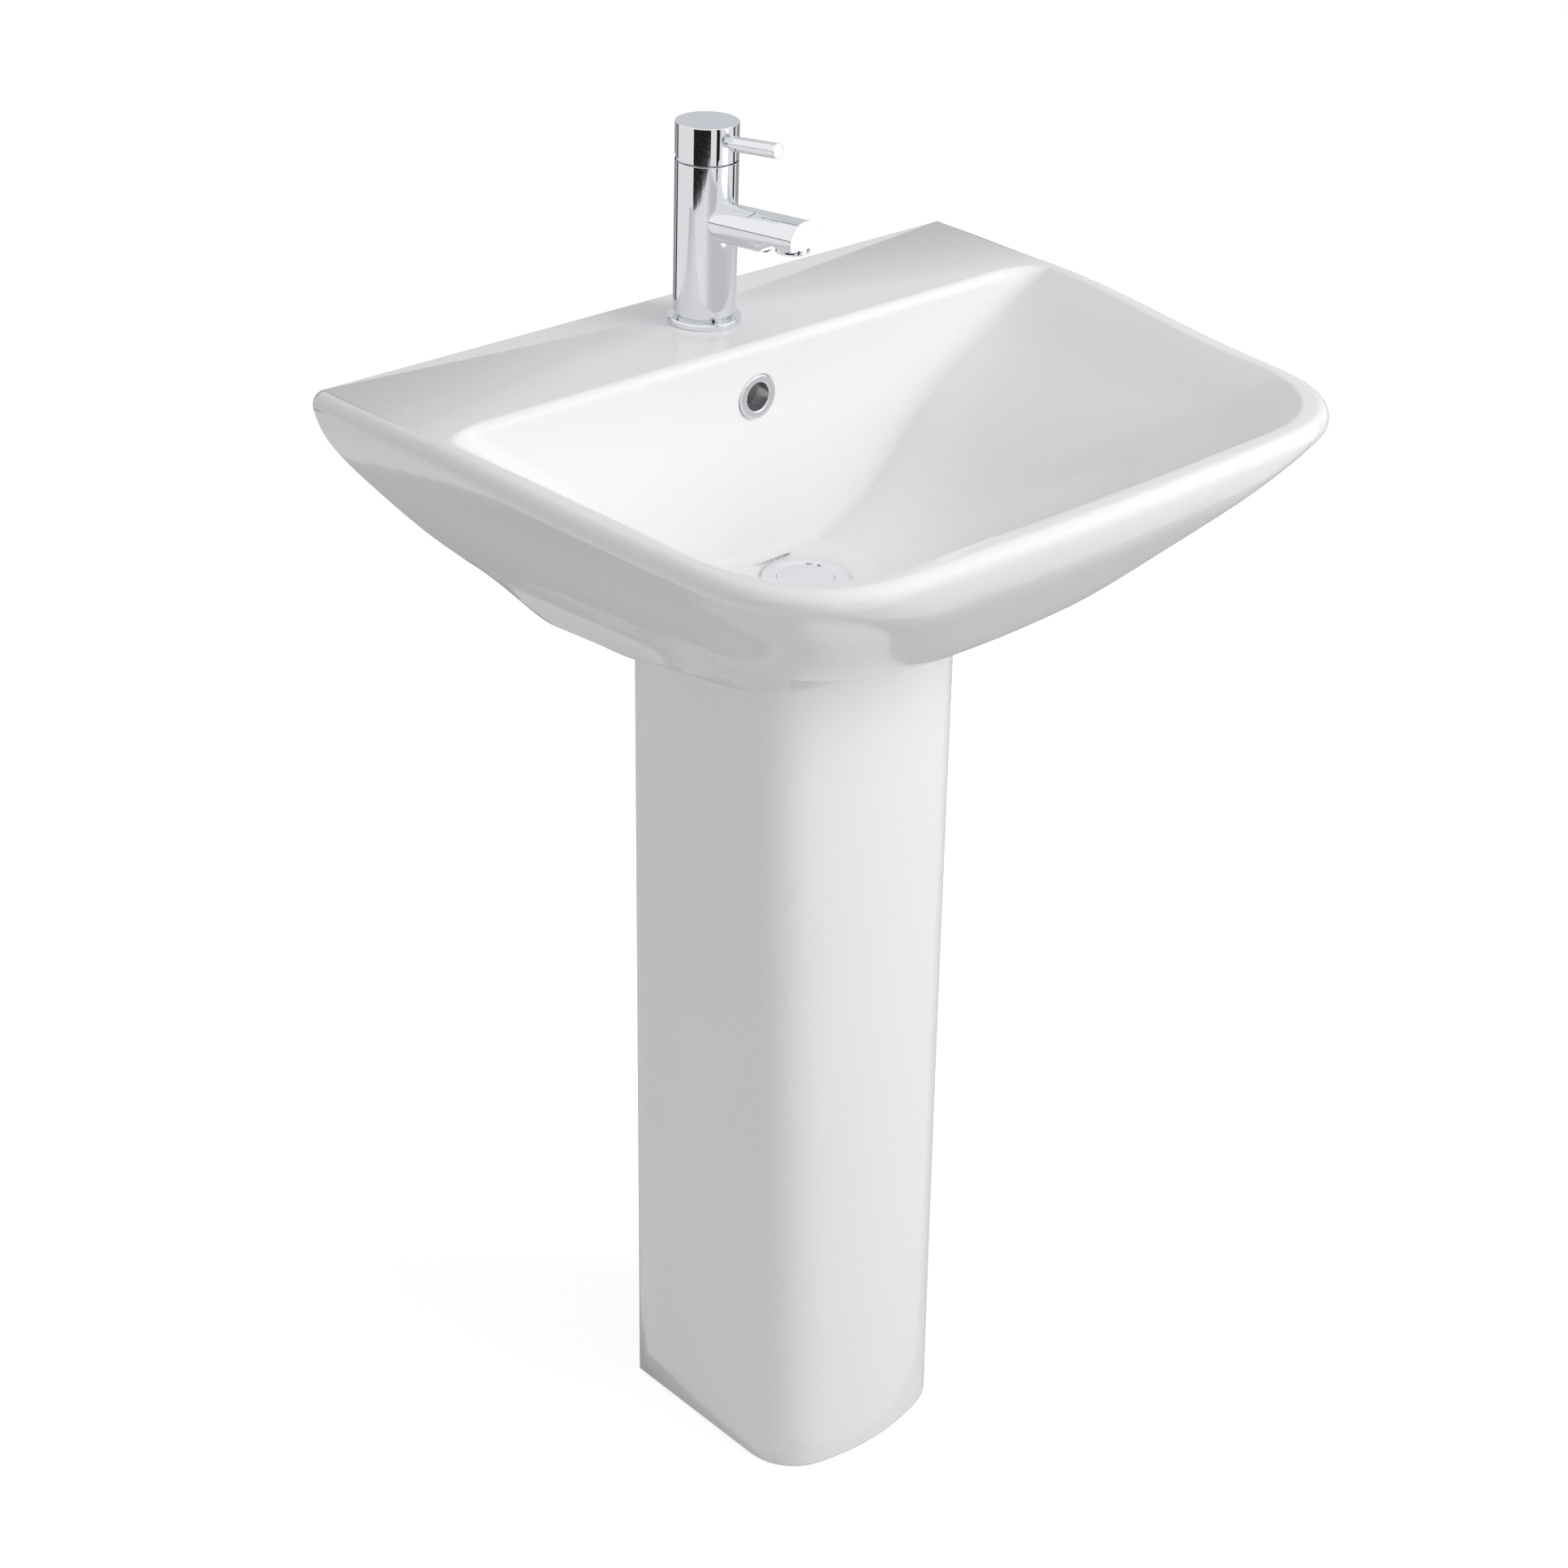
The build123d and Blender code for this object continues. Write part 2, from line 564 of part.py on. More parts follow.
body_low = ring_top + neck_gap
chamber_floor = body_top - 31.8
spout_pitch = Location((0, tap_y, spout_axis_height + deck), (90.0 - spout_rise, 0, 0))
with BuildPart() as tap_body:
    disc(tap_y, body_low, body_top, tap_radius)
    fillet(tap_body.edges().group_by(Axis.Z)[0], 0.8)
    disc(tap_y, ring_top, body_low + 1.0, neck_radius)
    with Locations(spout_pitch):
        Cylinder(spout_radius, 140.0, align=standing)
    # Square end, and the flat under it that takes the aerator.
    block((-40.0, 40.0), (tap_y - 200.0, tap_y - spout_reach), (900.0, 1000.0), Mode.SUBTRACT)
    flat_z = deck + aerator_flat_height
    flat_start = aerator_y + aerator_flat_behind
    block((-40.0, 40.0), (tap_y - 200.0, flat_start), (flat_z - 60.0, flat_z), Mode.SUBTRACT)
    with Locations(Location((0, flat_start, flat_z - 10.0), (0, 90, 0))):
        Cylinder(10.0, 80.0, mode=Mode.SUBTRACT)
    disc(tap_y, ring_top - 8.5, ring_top + 1.0, spigot_radius)
    # Inlets, waterways, cartridge chamber, aerator thread and stud hole.
    for side in (-1, 1):
        disc(side_port, ring_top - 9.0, ring_top + 5.5, inlet_radius, Mode.SUBTRACT, side * inlet_offset)
        disc(side_port, ring_top + 4.0, chamber_floor + 1.0, port_radius, Mode.SUBTRACT, side * inlet_offset)
    disc(tap_y - stud_front, ring_top - 9.0, ring_top + 8.0, stud_radius + 0.05, Mode.SUBTRACT)
    disc(tap_y, chamber_floor, body_top + 1.0, chamber_radius, Mode.SUBTRACT)
    disc(outlet_port, chamber_floor - 10.0, chamber_floor + 1.0, outlet_port_radius, Mode.SUBTRACT)
    with Locations(spout_pitch):
        with Locations((0, 3.0, 3.0)):
            Cylinder(4.0, aerator_reach - 3.0, align=standing, mode=Mode.SUBTRACT)
    disc(aerator_y, flat_z - 1.0, flat_z + 8.0, aerator_thread + slip_clearance, Mode.SUBTRACT)

with BuildPart() as aerator_housing:
    disc(aerator_y, flat_z - aerator_drop, flat_z, aerator_radius)
    fillet(aerator_housing.edges().group_by(Axis.Z)[0], 0.8)
    disc(aerator_y, flat_z, flat_z + 7.0, aerator_thread)
    disc(aerator_y, flat_z - aerator_drop + 1.0, flat_z + 8.0, 9.0, Mode.SUBTRACT)
    disc(aerator_y, flat_z - 10.0, flat_z, aerator_screen, Mode.SUBTRACT)

with BuildPart() as aerator_insert:
    disc(aerator_y, flat_z - aerator_drop + 1.0, flat_z + 5.0, 8.9)
    disc(aerator_y, flat_z - aerator_drop, flat_z + 6.0, 1.1, Mode.SUBTRACT)
    for ring, amount in ((3.4, 6), (6.4, 12)):
        with Locations((0, aerator_y, flat_z)):
            with PolarLocations(ring, amount):
                Cylinder(1.1, 20.0, mode=Mode.SUBTRACT)

with BuildPart() as aerator_washer:
    disc(aerator_y, flat_z + 7.0, flat_z + 8.0, 10.8)
    disc(aerator_y, flat_z + 6.0, flat_z + 9.0, 7.0, Mode.SUBTRACT)

# ------------------------------------------------------------------ tap cartridge
port_reach = chamber_radius - 0.3
with BuildPart() as cartridge_seal:
    disc(tap_y, chamber_floor, chamber_floor + 1.5, port_reach)
    disc(outlet_port, chamber_floor - 1.0, chamber_floor + 2.0, outlet_port_radius, Mode.SUBTRACT)
    for side in (-1, 1):
        port_x = side * inlet_offset
        disc(side_port, chamber_floor - 1.0, chamber_floor + 2.0, port_radius, Mode.SUBTRACT, port_x)

base_top = chamber_floor + 5.0
with BuildPart() as cartridge_base:
    disc(tap_y, chamber_floor + 1.5, base_top, port_reach)
    disc(outlet_port, chamber_floor, base_top + 1.0, outlet_port_radius, Mode.SUBTRACT)
    for side in (-1, 1):
        disc(side_port, chamber_floor, base_top + 1.0, port_radius, Mode.SUBTRACT, side * inlet_offset)

with BuildPart() as fixed_disc:
    disc(tap_y, base_top, base_top + ceramic_thickness - 0.3, 14.5)
    disc(outlet_port, base_top - 1.0, base_top + 4.0, outlet_port_radius, Mode.SUBTRACT)
    for side in (-1, 1):
        disc(side_port, base_top - 1.0, base_top + 4.0, port_radius, Mode.SUBTRACT, side * inlet_offset)

with BuildPart() as moving_disc:
    disc(tap_y, base_top + ceramic_thickness, base_top + 2 * ceramic_thickness, 11.0)
    block((-5.0, 5.0), (tap_y - 7.0, tap_y + 4.0), (base_top + 2.0, base_top + 4.8), Mode.SUBTRACT)

carrier_top = base_top + 10.0
ball_height = pivot_z - 14.5
with BuildPart() as disc_carrier:
    disc(tap_y, base_top + 2 * ceramic_thickness, carrier_top, 10.6)
    disc(tap_y, base_top + 5.0, carrier_top + 1.0, ball_radius + ball_gap, Mode.SUBTRACT)

housing_top = base_top + 18.0
with BuildPart() as cartridge_housing:
    disc(tap_y, base_top, housing_top, port_reach)
    disc(tap_y, housing_top, body_top, collar_radius)
    disc(tap_y, base_top - 1.0, carrier_top + 4.3, 15.0, Mode.SUBTRACT)
    disc(tap_y, base_top, body_top + 1.0, rotor_radius + 0.1, Mode.SUBTRACT)

with BuildPart() as cartridge_rotor:
    disc(tap_y, carrier_top + 0.3, body_top + 2.2, rotor_radius)
    disc(tap_y, carrier_top + 0.3, carrier_top + 4.0, 14.6)
    block((-3.5, 3.5), (tap_y - 6.6, tap_y + 6.6), (carrier_top, body_top + 3.0), Mode.SUBTRACT)
    with Locations(Location((0, tap_y, pivot_z), (0, 90, 0))):
        Cylinder(pin_radius + 0.02, 40.0, mode=Mode.SUBTRACT)

with BuildPart() as pivot_pin:
    with Locations(Location((0, tap_y, pivot_z), (0, 90, 0))):
        Cylinder(pin_radius, 18.0)

with BuildPart() as tap_spindle:
    block((-3.2, 3.2), (tap_y - 4.0, tap_y + 4.0), (pivot_z - 4.0, lever_z + 3.5))
    disc(tap_y, ball_height, pivot_z - 3.5, 1.5)
    with Locations((0, tap_y, ball_height)):
        Sphere(ball_radius)
    with Locations(Location((0, tap_y, pivot_z), (0, 90, 0))):
        Cylinder(pin_radius + 0.07, 40.0, mode=Mode.SUBTRACT)

with BuildPart() as cartridge_nut:
    disc(tap_y, housing_top, body_top - 2.8, port_reach)
    disc(tap_y, housing_top - 1.0, housing_top + 7.0, collar_radius + 0.2, Mode.SUBTRACT)

with BuildPart() as tap_shroud:
    disc(tap_y, body_top, body_top + 1.8, 18.5)
    taper(tap_y, body_top + 1.8, body_top + 4.2, 17.5, 15.2)
    disc(tap_y, body_top - 1.0, body_top + 5.0, 13.6, Mode.SUBTRACT)

# ------------------------------------------------------------------ tap handle
cap_low = body_top + parting_gap
cap_top = deck + tap_height
with BuildPart() as handle_cap:
    disc(tap_y, cap_low, cap_top, tap_radius)
    chamfer(handle_cap.edges().group_by(Axis.Z)[-1], 0.8)
    disc(tap_y, cap_low - 1.0, lever_z - 3.5, 19.5, Mode.SUBTRACT)
    disc(tap_y, cap_low + 5.3, lever_z - 3.0, 9.0)
    block((-3.25, 3.25), (tap_y - 4.05, tap_y + 4.05), (cap_low, lever_z + 3.8), Mode.SUBTRACT)
    # The rear underside slopes up so that the cap can rock back.
    with BuildSketch(Plane.YZ.offset(-40.0)):
        with BuildLine():
            Polyline(
                (tap_y + 1.0, cap_low),
                (tap_y + 41.0, cap_low + 40.0 * tan(radians(relief_angle))),
                (tap_y + 41.0, cap_low - 5.0),
                (tap_y + 1.0, cap_low - 5.0),
                close=True,
            )
        make_face()
    extrude(amount=80.0, mode=Mode.SUBTRACT)
    with Locations(Location((0, tap_y, lever_z), (90.0 - lever_rise, 0, 0))):
        with Locations((0, 0, 12.0)):
            Cylinder(lever_neck + 0.05, 40.0, align=standing, mode=Mode.SUBTRACT)
    with Locations(Location((0, tap_y, lever_z - 0.5), (-90.0, 0, 0))):
        Cylinder(2.5, 40.0, align=standing, mode=Mode.SUBTRACT)

with BuildPart() as lever_rod:
    with Locations(Location((0, tap_y, lever_z), (90.0 - lever_rise, 0, 0))):
        with Locations((0, 0, 12.2)):
            Cylinder(lever_neck, 20.0, align=standing)
        with Locations((0, 0, 26.5)):
            Cylinder(lever_radius, lever_reach / cos(radians(lever_rise)) - 26.5,
                     align=standing)
    chamfer(lever_rod.faces().sort_by(Axis.Y)[0].edges(), 0.6)

with BuildPart() as grub_screw:
    with Locations(Location((0, tap_y, lever_z - 0.5), (-90.0, 0, 0))):
        with Locations((0, 0, 4.0)):
            Cylinder(2.45, 8.0, align=standing)
    with BuildSketch(Plane.XZ.offset(-(tap_y + 10.0))):
        with Locations((0, lever_z - 0.5)):
            RegularPolygon(1.3, 6)
    extrude(amount=-4.0, mode=Mode.SUBTRACT)

# ------------------------------------------------------------------ tap fixings
under_deck = deck - deck_thickness
with BuildPart() as fixing_stud:
    disc(tap_y - stud_front, under_deck - 44.0, ring_top + 7.5, stud_radius)
    chamfer(fixing_stud.edges().group_by(Axis.Z)[0], 0.6)

with BuildPart() as fixing_washer_rubber:
    disc(tap_y, under_deck - 3.0, under_deck, horseshoe_radius)
    block((-12.5, 12.5), (tap_y - 2.5, tap_y + 30.0), (under_deck - 4.0, under_deck + 1.0), Mode.SUBTRACT)
    disc(tap_y - stud_front, under_deck - 4.0, under_deck + 1.0, stud_radius + 0.1, Mode.SUBTRACT)

with BuildPart() as fixing_washer_metal:
    disc(tap_y, under_deck - 5.0, under_deck - 3.0, horseshoe_radius)
    block((-12.5, 12.5), (tap_y - 2.5, tap_y + 30.0), (under_deck - 6.0, under_deck - 2.0), Mode.SUBTRACT)
    disc(tap_y - stud_front, under_deck - 6.0, under_deck - 2.0, stud_radius + 0.1, Mode.SUBTRACT)

with BuildPart() as fixing_nut:
    with BuildSketch(Plane.XY.offset(under_deck - 12.0)):
        with Locations((0, tap_y - stud_front)):
            RegularPolygon(6.6, 6)
    extrude(amount=7.0)
    disc(tap_y - stud_front, under_deck - 13.0, under_deck - 4.0, stud_radius + 0.05, Mode.SUBTRACT)

# ------------------------------------------------------------------ export
os.makedirs("parts", exist_ok=True)
basin.part.label = "basin"
pedestal.part.label = "pedestal"
overflow_ring.part.label = "overflow_ring"
waste_top_gasket.part.label = "waste_top_gasket"
waste_body.part.label = "waste_body"
pop_up_cartridge.part.label = "pop_up_cartridge"
waste_plug.part.label = "waste_plug"
plug_seal.part.label = "plug_seal"
waste_cone_washer.part.label = "waste_cone_washer"
waste_back_nut.part.label = "waste_back_nut"
trap_inlet_nut.part.label = "trap_inlet_nut"
trap_inlet_washer.part.label = "trap_inlet_washer"
trap_body.part.label = "trap_body"
trap_cup.part.label = "trap_cup"
trap_cup_seal.part.label = "trap_cup_seal"
trap_outlet_pipe.part.label = "trap_outlet_pipe"
trap_outlet_washer.part.label = "trap_outlet_washer"
trap_outlet_nut.part.label = "trap_outlet_nut"
tap_base_ring.part.label = "tap_base_ring"
tap_base_gasket.part.label = "tap_base_gasket"
tap_body.part.label = "tap_body"
aerator_housing.part.label = "aerator_housing"
aerator_insert.part.label = "aerator_insert"
aerator_washer.part.label = "aerator_washer"
cartridge_seal.part.label = "cartridge_seal"
cartridge_base.part.label = "cartridge_base"
fixed_disc.part.label = "fixed_disc"
moving_disc.part.label = "moving_disc"
disc_carrier.part.label = "disc_carrier"
cartridge_housing.part.label = "cartridge_housing"
cartridge_rotor.part.label = "cartridge_rotor"
pivot_pin.part.label = "pivot_pin"
tap_spindle.part.label = "tap_spindle"
cartridge_nut.part.label = "cartridge_nut"
tap_shroud.part.label = "tap_shroud"
handle_cap.part.label = "handle_cap"
lever_rod.part.label = "lever_rod"
grub_screw.part.label = "grub_screw"
fixing_stud.part.label = "fixing_stud"
fixing_washer_rubber.part.label = "fixing_washer_rubber"
fixing_washer_metal.part.label = "fixing_washer_metal"
fixing_nut.part.label = "fixing_nut"
export_step(basin.part, "parts/basin.step")
export_step(pedestal.part, "parts/pedestal.step")
export_step(overflow_ring.part, "parts/overflow_ring.step")
export_step(waste_top_gasket.part, "parts/waste_top_gasket.step")
export_step(waste_body.part, "parts/waste_body.step")
export_step(pop_up_cartridge.part, "parts/pop_up_cartridge.step")
export_step(waste_plug.part, "parts/waste_plug.step")
export_step(plug_seal.part, "parts/plug_seal.step")
export_step(waste_cone_washer.part, "parts/waste_cone_washer.step")
export_step(waste_back_nut.part, "parts/waste_back_nut.step")
export_step(trap_inlet_nut.part, "parts/trap_inlet_nut.step")
export_step(trap_inlet_washer.part, "parts/trap_inlet_washer.step")
export_step(trap_body.part, "parts/trap_body.step")
export_step(trap_cup.part, "parts/trap_cup.step")
export_step(trap_cup_seal.part, "parts/trap_cup_seal.step")
export_step(trap_outlet_pipe.part, "parts/trap_outlet_pipe.step")
export_step(trap_outlet_washer.part, "parts/trap_outlet_washer.step")
export_step(trap_outlet_nut.part, "parts/trap_outlet_nut.step")
export_step(tap_base_ring.part, "parts/tap_base_ring.step")
export_step(tap_base_gasket.part, "parts/tap_base_gasket.step")
export_step(tap_body.part, "parts/tap_body.step")
export_step(aerator_housing.part, "parts/aerator_housing.step")
export_step(aerator_insert.part, "parts/aerator_insert.step")
export_step(aerator_washer.part, "parts/aerator_washer.step")
export_step(cartridge_seal.part, "parts/cartridge_seal.step")
export_step(cartridge_base.part, "parts/cartridge_base.step")
export_step(fixed_disc.part, "parts/fixed_disc.step")
export_step(moving_disc.part, "parts/moving_disc.step")
export_step(disc_carrier.part, "parts/disc_carrier.step")
export_step(cartridge_housing.part, "parts/cartridge_housing.step")
export_step(cartridge_rotor.part, "parts/cartridge_rotor.step")
export_step(pivot_pin.part, "parts/pivot_pin.step")
export_step(tap_spindle.part, "parts/tap_spindle.step")
export_step(cartridge_nut.part, "parts/cartridge_nut.step")
export_step(tap_shroud.part, "parts/tap_shroud.step")
export_step(handle_cap.part, "parts/handle_cap.step")
export_step(lever_rod.part, "parts/lever_rod.step")
export_step(grub_screw.part, "parts/grub_screw.step")
export_step(fixing_stud.part, "parts/fixing_stud.step")
export_step(fixing_washer_rubber.part, "parts/fixing_washer_rubber.step")
export_step(fixing_washer_metal.part, "parts/fixing_washer_metal.step")
export_step(fixing_nut.part, "parts/fixing_nut.step")
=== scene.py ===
"""Looks for a pedestal wash basin: glazed china, a chrome mixer tap, a pop-up waste and a bottle trap.

Metres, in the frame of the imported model: X along the wall, +Y towards the wall, +Z up.
The tap's barrel, spout, cap, lever and base ring, the plug and the overflow ring are surfaces
worked out with numpy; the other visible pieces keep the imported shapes, merged and shaded smooth.
"""

import json
from math import cos, radians, sin, tan

import bmesh
import bpy
import numpy as np
from bpy.props import FloatProperty, FloatVectorProperty, PointerProperty
from mathutils import Matrix, Vector


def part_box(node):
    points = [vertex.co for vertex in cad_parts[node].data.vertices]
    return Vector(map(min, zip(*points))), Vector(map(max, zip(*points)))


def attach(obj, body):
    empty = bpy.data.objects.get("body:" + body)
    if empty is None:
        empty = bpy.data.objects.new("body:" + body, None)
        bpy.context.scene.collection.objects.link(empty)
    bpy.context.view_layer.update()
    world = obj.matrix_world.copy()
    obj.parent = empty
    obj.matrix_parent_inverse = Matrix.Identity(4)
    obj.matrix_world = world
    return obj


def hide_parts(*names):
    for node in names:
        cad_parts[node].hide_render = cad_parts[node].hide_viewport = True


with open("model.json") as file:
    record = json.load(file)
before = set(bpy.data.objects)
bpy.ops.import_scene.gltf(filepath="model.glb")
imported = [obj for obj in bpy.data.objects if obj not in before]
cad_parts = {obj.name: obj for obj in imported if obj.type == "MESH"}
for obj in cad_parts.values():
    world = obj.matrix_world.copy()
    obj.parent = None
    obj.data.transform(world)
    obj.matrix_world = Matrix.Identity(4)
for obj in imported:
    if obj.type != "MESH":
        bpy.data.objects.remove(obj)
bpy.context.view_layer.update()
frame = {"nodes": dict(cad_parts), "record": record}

bl_info = {
    "name": "Pedestal Wash Basin",
    "version": (1, 0, 0),
    "blender": (4, 5, 0),
    "location": "View3D > Sidebar > Wash Basin",
    "description": "Glaze, chrome and plumbing finishes for a pedestal wash basin",
    "category": "Object",
}

RECORD = frame["record"]
BODY_OF = {node: body for body, nodes in RECORD["behaviour"]["bodies"].items() for node in nodes}
SLOT_OF = {part["node"]: part["material_slot"] for part in RECORD["subparts"]}

# Edges that turn by more than this many degrees stay sharp.
TURNED_SHARP = 28.0
PACKED_SHARP = 30.0
CHINA_SHARP = 32.0
BODY_SHARP = 26.0

# Triangles of a flat: how nearly level with a neighbour, twice the least area, and their weight.
LEVEL_COSINE = 1.0 - 1e-7
FLAT_SIZE = 1e-3
FLAT_WEIGHT = 1000.0


# ------------------------------------------------------------------ settings
class GlazeSettings(bpy.types.PropertyGroup):
    """Colour and surface of the glazed china."""

    colour: FloatVectorProperty(
        name="Glaze colour", description="Colour of the white glaze", subtype="COLOR",
        size=3, min=0.0, max=1.0, default=(0.925, 0.925, 0.927))
    roughness: FloatProperty(
        name="Roughness", description="Roughness of the glaze",
        subtype="FACTOR", min=0.0, max=1.0, default=0.22)
    ripple: FloatProperty(
        name="Ripple", description="Height of the glaze's slow ripple",
        unit="LENGTH", default=0.00012)


class MetalSettings(bpy.types.PropertyGroup):
    """Sizes and colour of the chrome pieces."""

    colour: FloatVectorProperty(
        name="Chrome colour", description="Colour of the chrome plate", subtype="COLOR",
        size=3, min=0.0, max=1.0, default=(0.83, 0.84, 0.865))
    roughness: FloatProperty(
        name="Roughness", description="Roughness of the plate",
        subtype="FACTOR", min=0.0, max=1.0, default=0.035)
    skin: FloatProperty(
        name="Skin", description="How far the packed body lies inside its outside surfaces",
        unit="LENGTH", default=0.00015)
    barrel_edge: FloatProperty(
        name="Barrel edge", description="Rounding at the foot of the barrel",
        unit="LENGTH", default=0.0008)
    barrel_gap: FloatProperty(
        name="Barrel gap", description="Gap between base ring and barrel",
        unit="LENGTH", default=0.0035)
    barrel_wall: FloatProperty(
        name="Barrel wall", description="Thickness of the barrel's sleeve",
        unit="LENGTH", default=0.0012)
    spout_radius: FloatProperty(
        name="Spout radius", description="Radius of the spout", unit="LENGTH", default=0.01415)
    spout_rise: FloatProperty(
        name="Spout rise", description="Slope of the spout above level",
        unit="ROTATION", default=radians(5.5))
    spout_height: FloatProperty(
        name="Spout height", description="Spout axis above the deck, at the barrel's axis",
        unit="LENGTH", default=0.0742)
    spout_edge: FloatProperty(
        name="Spout edge", description="Rounding round the spout's end face",
        unit="LENGTH", default=0.0004)
    flat_behind: FloatProperty(
        name="Flat start", description="Where the flat starts behind the aerator's axis",
        unit="LENGTH", default=0.0152)
    flat_round: FloatProperty(
        name="Flat run-out", description="Radius of the flat's run-out",
        unit="LENGTH", default=0.01)
    aerator_drop: FloatProperty(
        name="Aerator drop", description="How far the aerator stands below the flat",
        unit="LENGTH", default=0.0046)
    cap_edge: FloatProperty(
        name="Cap edge", description="Rounding of the handle cap's top edge",
        unit="LENGTH", default=0.0007)
    cap_wall: FloatProperty(
        name="Cap wall", description="Wall of the handle cap's skirt", unit="LENGTH", default=0.003)
    relief: FloatProperty(
        name="Rear relief", description="Slope under the rear of the cap",
        unit="ROTATION", default=radians(16.8))
    lever_rise: FloatProperty(
        name="Lever rise", description="Slope of the lever above level",
        unit="ROTATION", default=radians(7.2))
    lever_neck: FloatProperty(
        name="Lever neck", description="Radius of the lever's neck", unit="LENGTH", default=0.0035)
    lever_edge: FloatProperty(
        name="Lever edge", description="Rounding of the lever's end", unit="LENGTH", default=0.0007)


class StageSettings(bpy.types.PropertyGroup):
    """Floor, lights and camera."""

    floor_colour: FloatVectorProperty(
        name="Floor colour", description="Colour of the plain floor", subtype="COLOR",
        size=3, min=0.0, max=1.0, default=(0.6, 0.6, 0.6))
    floor_glow: FloatProperty(
        name="Floor glow", description="Light the floor adds where it is seen directly",
        default=0.72)
    sheet_glow: FloatProperty(
        name="Sheet glow", description="Brightness of the paper mirrored in the chrome",
        default=0.85)
    ambient: FloatProperty(
        name="Ambient", description="Even light from the surroundings", default=0.43)
    key_power: FloatProperty(
        name="Key power", description="Power of the large light on the right",
        unit="POWER", default=54.0)
    camera_place: FloatVectorProperty(
        name="Camera place", description="Where the camera stands", subtype="TRANSLATION",
        size=3, default=(-1.3300, -1.3183, 1.6073))
    camera_heading: FloatProperty(
        name="Heading", description="Direction from +Y towards +X",
        unit="ROTATION", default=radians(43.66))
    camera_dip: FloatProperty(
        name="Dip", description="Angle below level", unit="ROTATION", default=radians(28.82))
    camera_roll: FloatProperty(
        name="Roll", description="Turn about the view direction",
        unit="ROTATION", default=radians(-1.91))
    lens: FloatProperty(
        name="Lens", description="Focal length on a 36 mm sensor, in millimetres", default=67.64)


# ------------------------------------------------------------------ meshes
def shell(name, rows, loop):
    """Mesh over a grid of points, rows by columns; the columns always close on themselves.

    With loop the rows close too, as on a ring. Without it the first and last rows are each a
    single point repeated, and become the two poles. Faces are turned so that the enclosed volume,
    the sum of a . (b x c) / 6 over its triangles, is positive.
    """
    count, columns = rows.shape[:2]
    grid = np.arange(count * columns).reshape(count, columns)
    if not loop:
        grid[0, :] = grid[0, 0]
        grid[-1, :] = grid[-1, 0]
    ahead = np.roll(grid, -1, axis=1)
    first, last = (grid, np.roll(grid, -1, axis=0)) if loop else (grid[:-1], grid[1:])
    first_ahead, last_ahead = (ahead, np.roll(ahead, -1, axis=0)) if loop else (ahead[:-1], ahead[1:])
    a, b, c, d = (part.reshape(-1) for part in (first, last, last_ahead, first_ahead))
    triangles = np.concatenate([np.stack([a, b, c], 1), np.stack([a, c, d], 1)])
    sound = (triangles[:, 0] != triangles[:, 1]) & (triangles[:, 1] != triangles[:, 2])
    sound &= triangles[:, 0] != triangles[:, 2]
    triangles = triangles[sound]
    points = rows.reshape(-1, 3)
    used, packed = np.unique(triangles, return_inverse=True)
    points = points[used]
    triangles = packed.reshape(-1, 3)
    one, two, three = (points[triangles[:, corner]] for corner in range(3))
    if np.einsum("ij,ij->", one, np.cross(two, three)) < 0.0:
        triangles = triangles[:, ::-1]
    mesh = bpy.data.meshes.new(name)
    mesh.from_pydata(points.tolist(), [], triangles.tolist())
    mesh.update()
    return mesh


def corner(centre, radius, start, stop, steps=6):
    """Arc in a profile: centre + radius * (cos t, sin t), t from start to stop in degrees."""
    turn = np.radians(np.linspace(start, stop, steps))
    return np.stack([centre[0] + radius * np.cos(turn), centre[1] + radius * np.sin(turn)], 1)


def turned(name, profile, origin, axis, side, loop, columns=128):
    """Surface of revolution of a profile of (radius, distance along the axis).

    Point = origin + distance * axis + radius * (cos u * side + sin u * (axis x side)), u round the axis.
    """
    profile = np.asarray(profile, float)
    axis, side = np.asarray(axis, float), np.asarray(side, float)
    across = np.cross(axis, side)
    turn = np.linspace(0.0, 2.0 * np.pi, columns, endpoint=False)
    ring = np.cos(turn)[:, None] * side + np.sin(turn)[:, None] * across
    rows = np.asarray(origin, float) + profile[:, None, 1:2] * axis + profile[:, None, 0:1] * ring
    return shell(name, rows, loop)


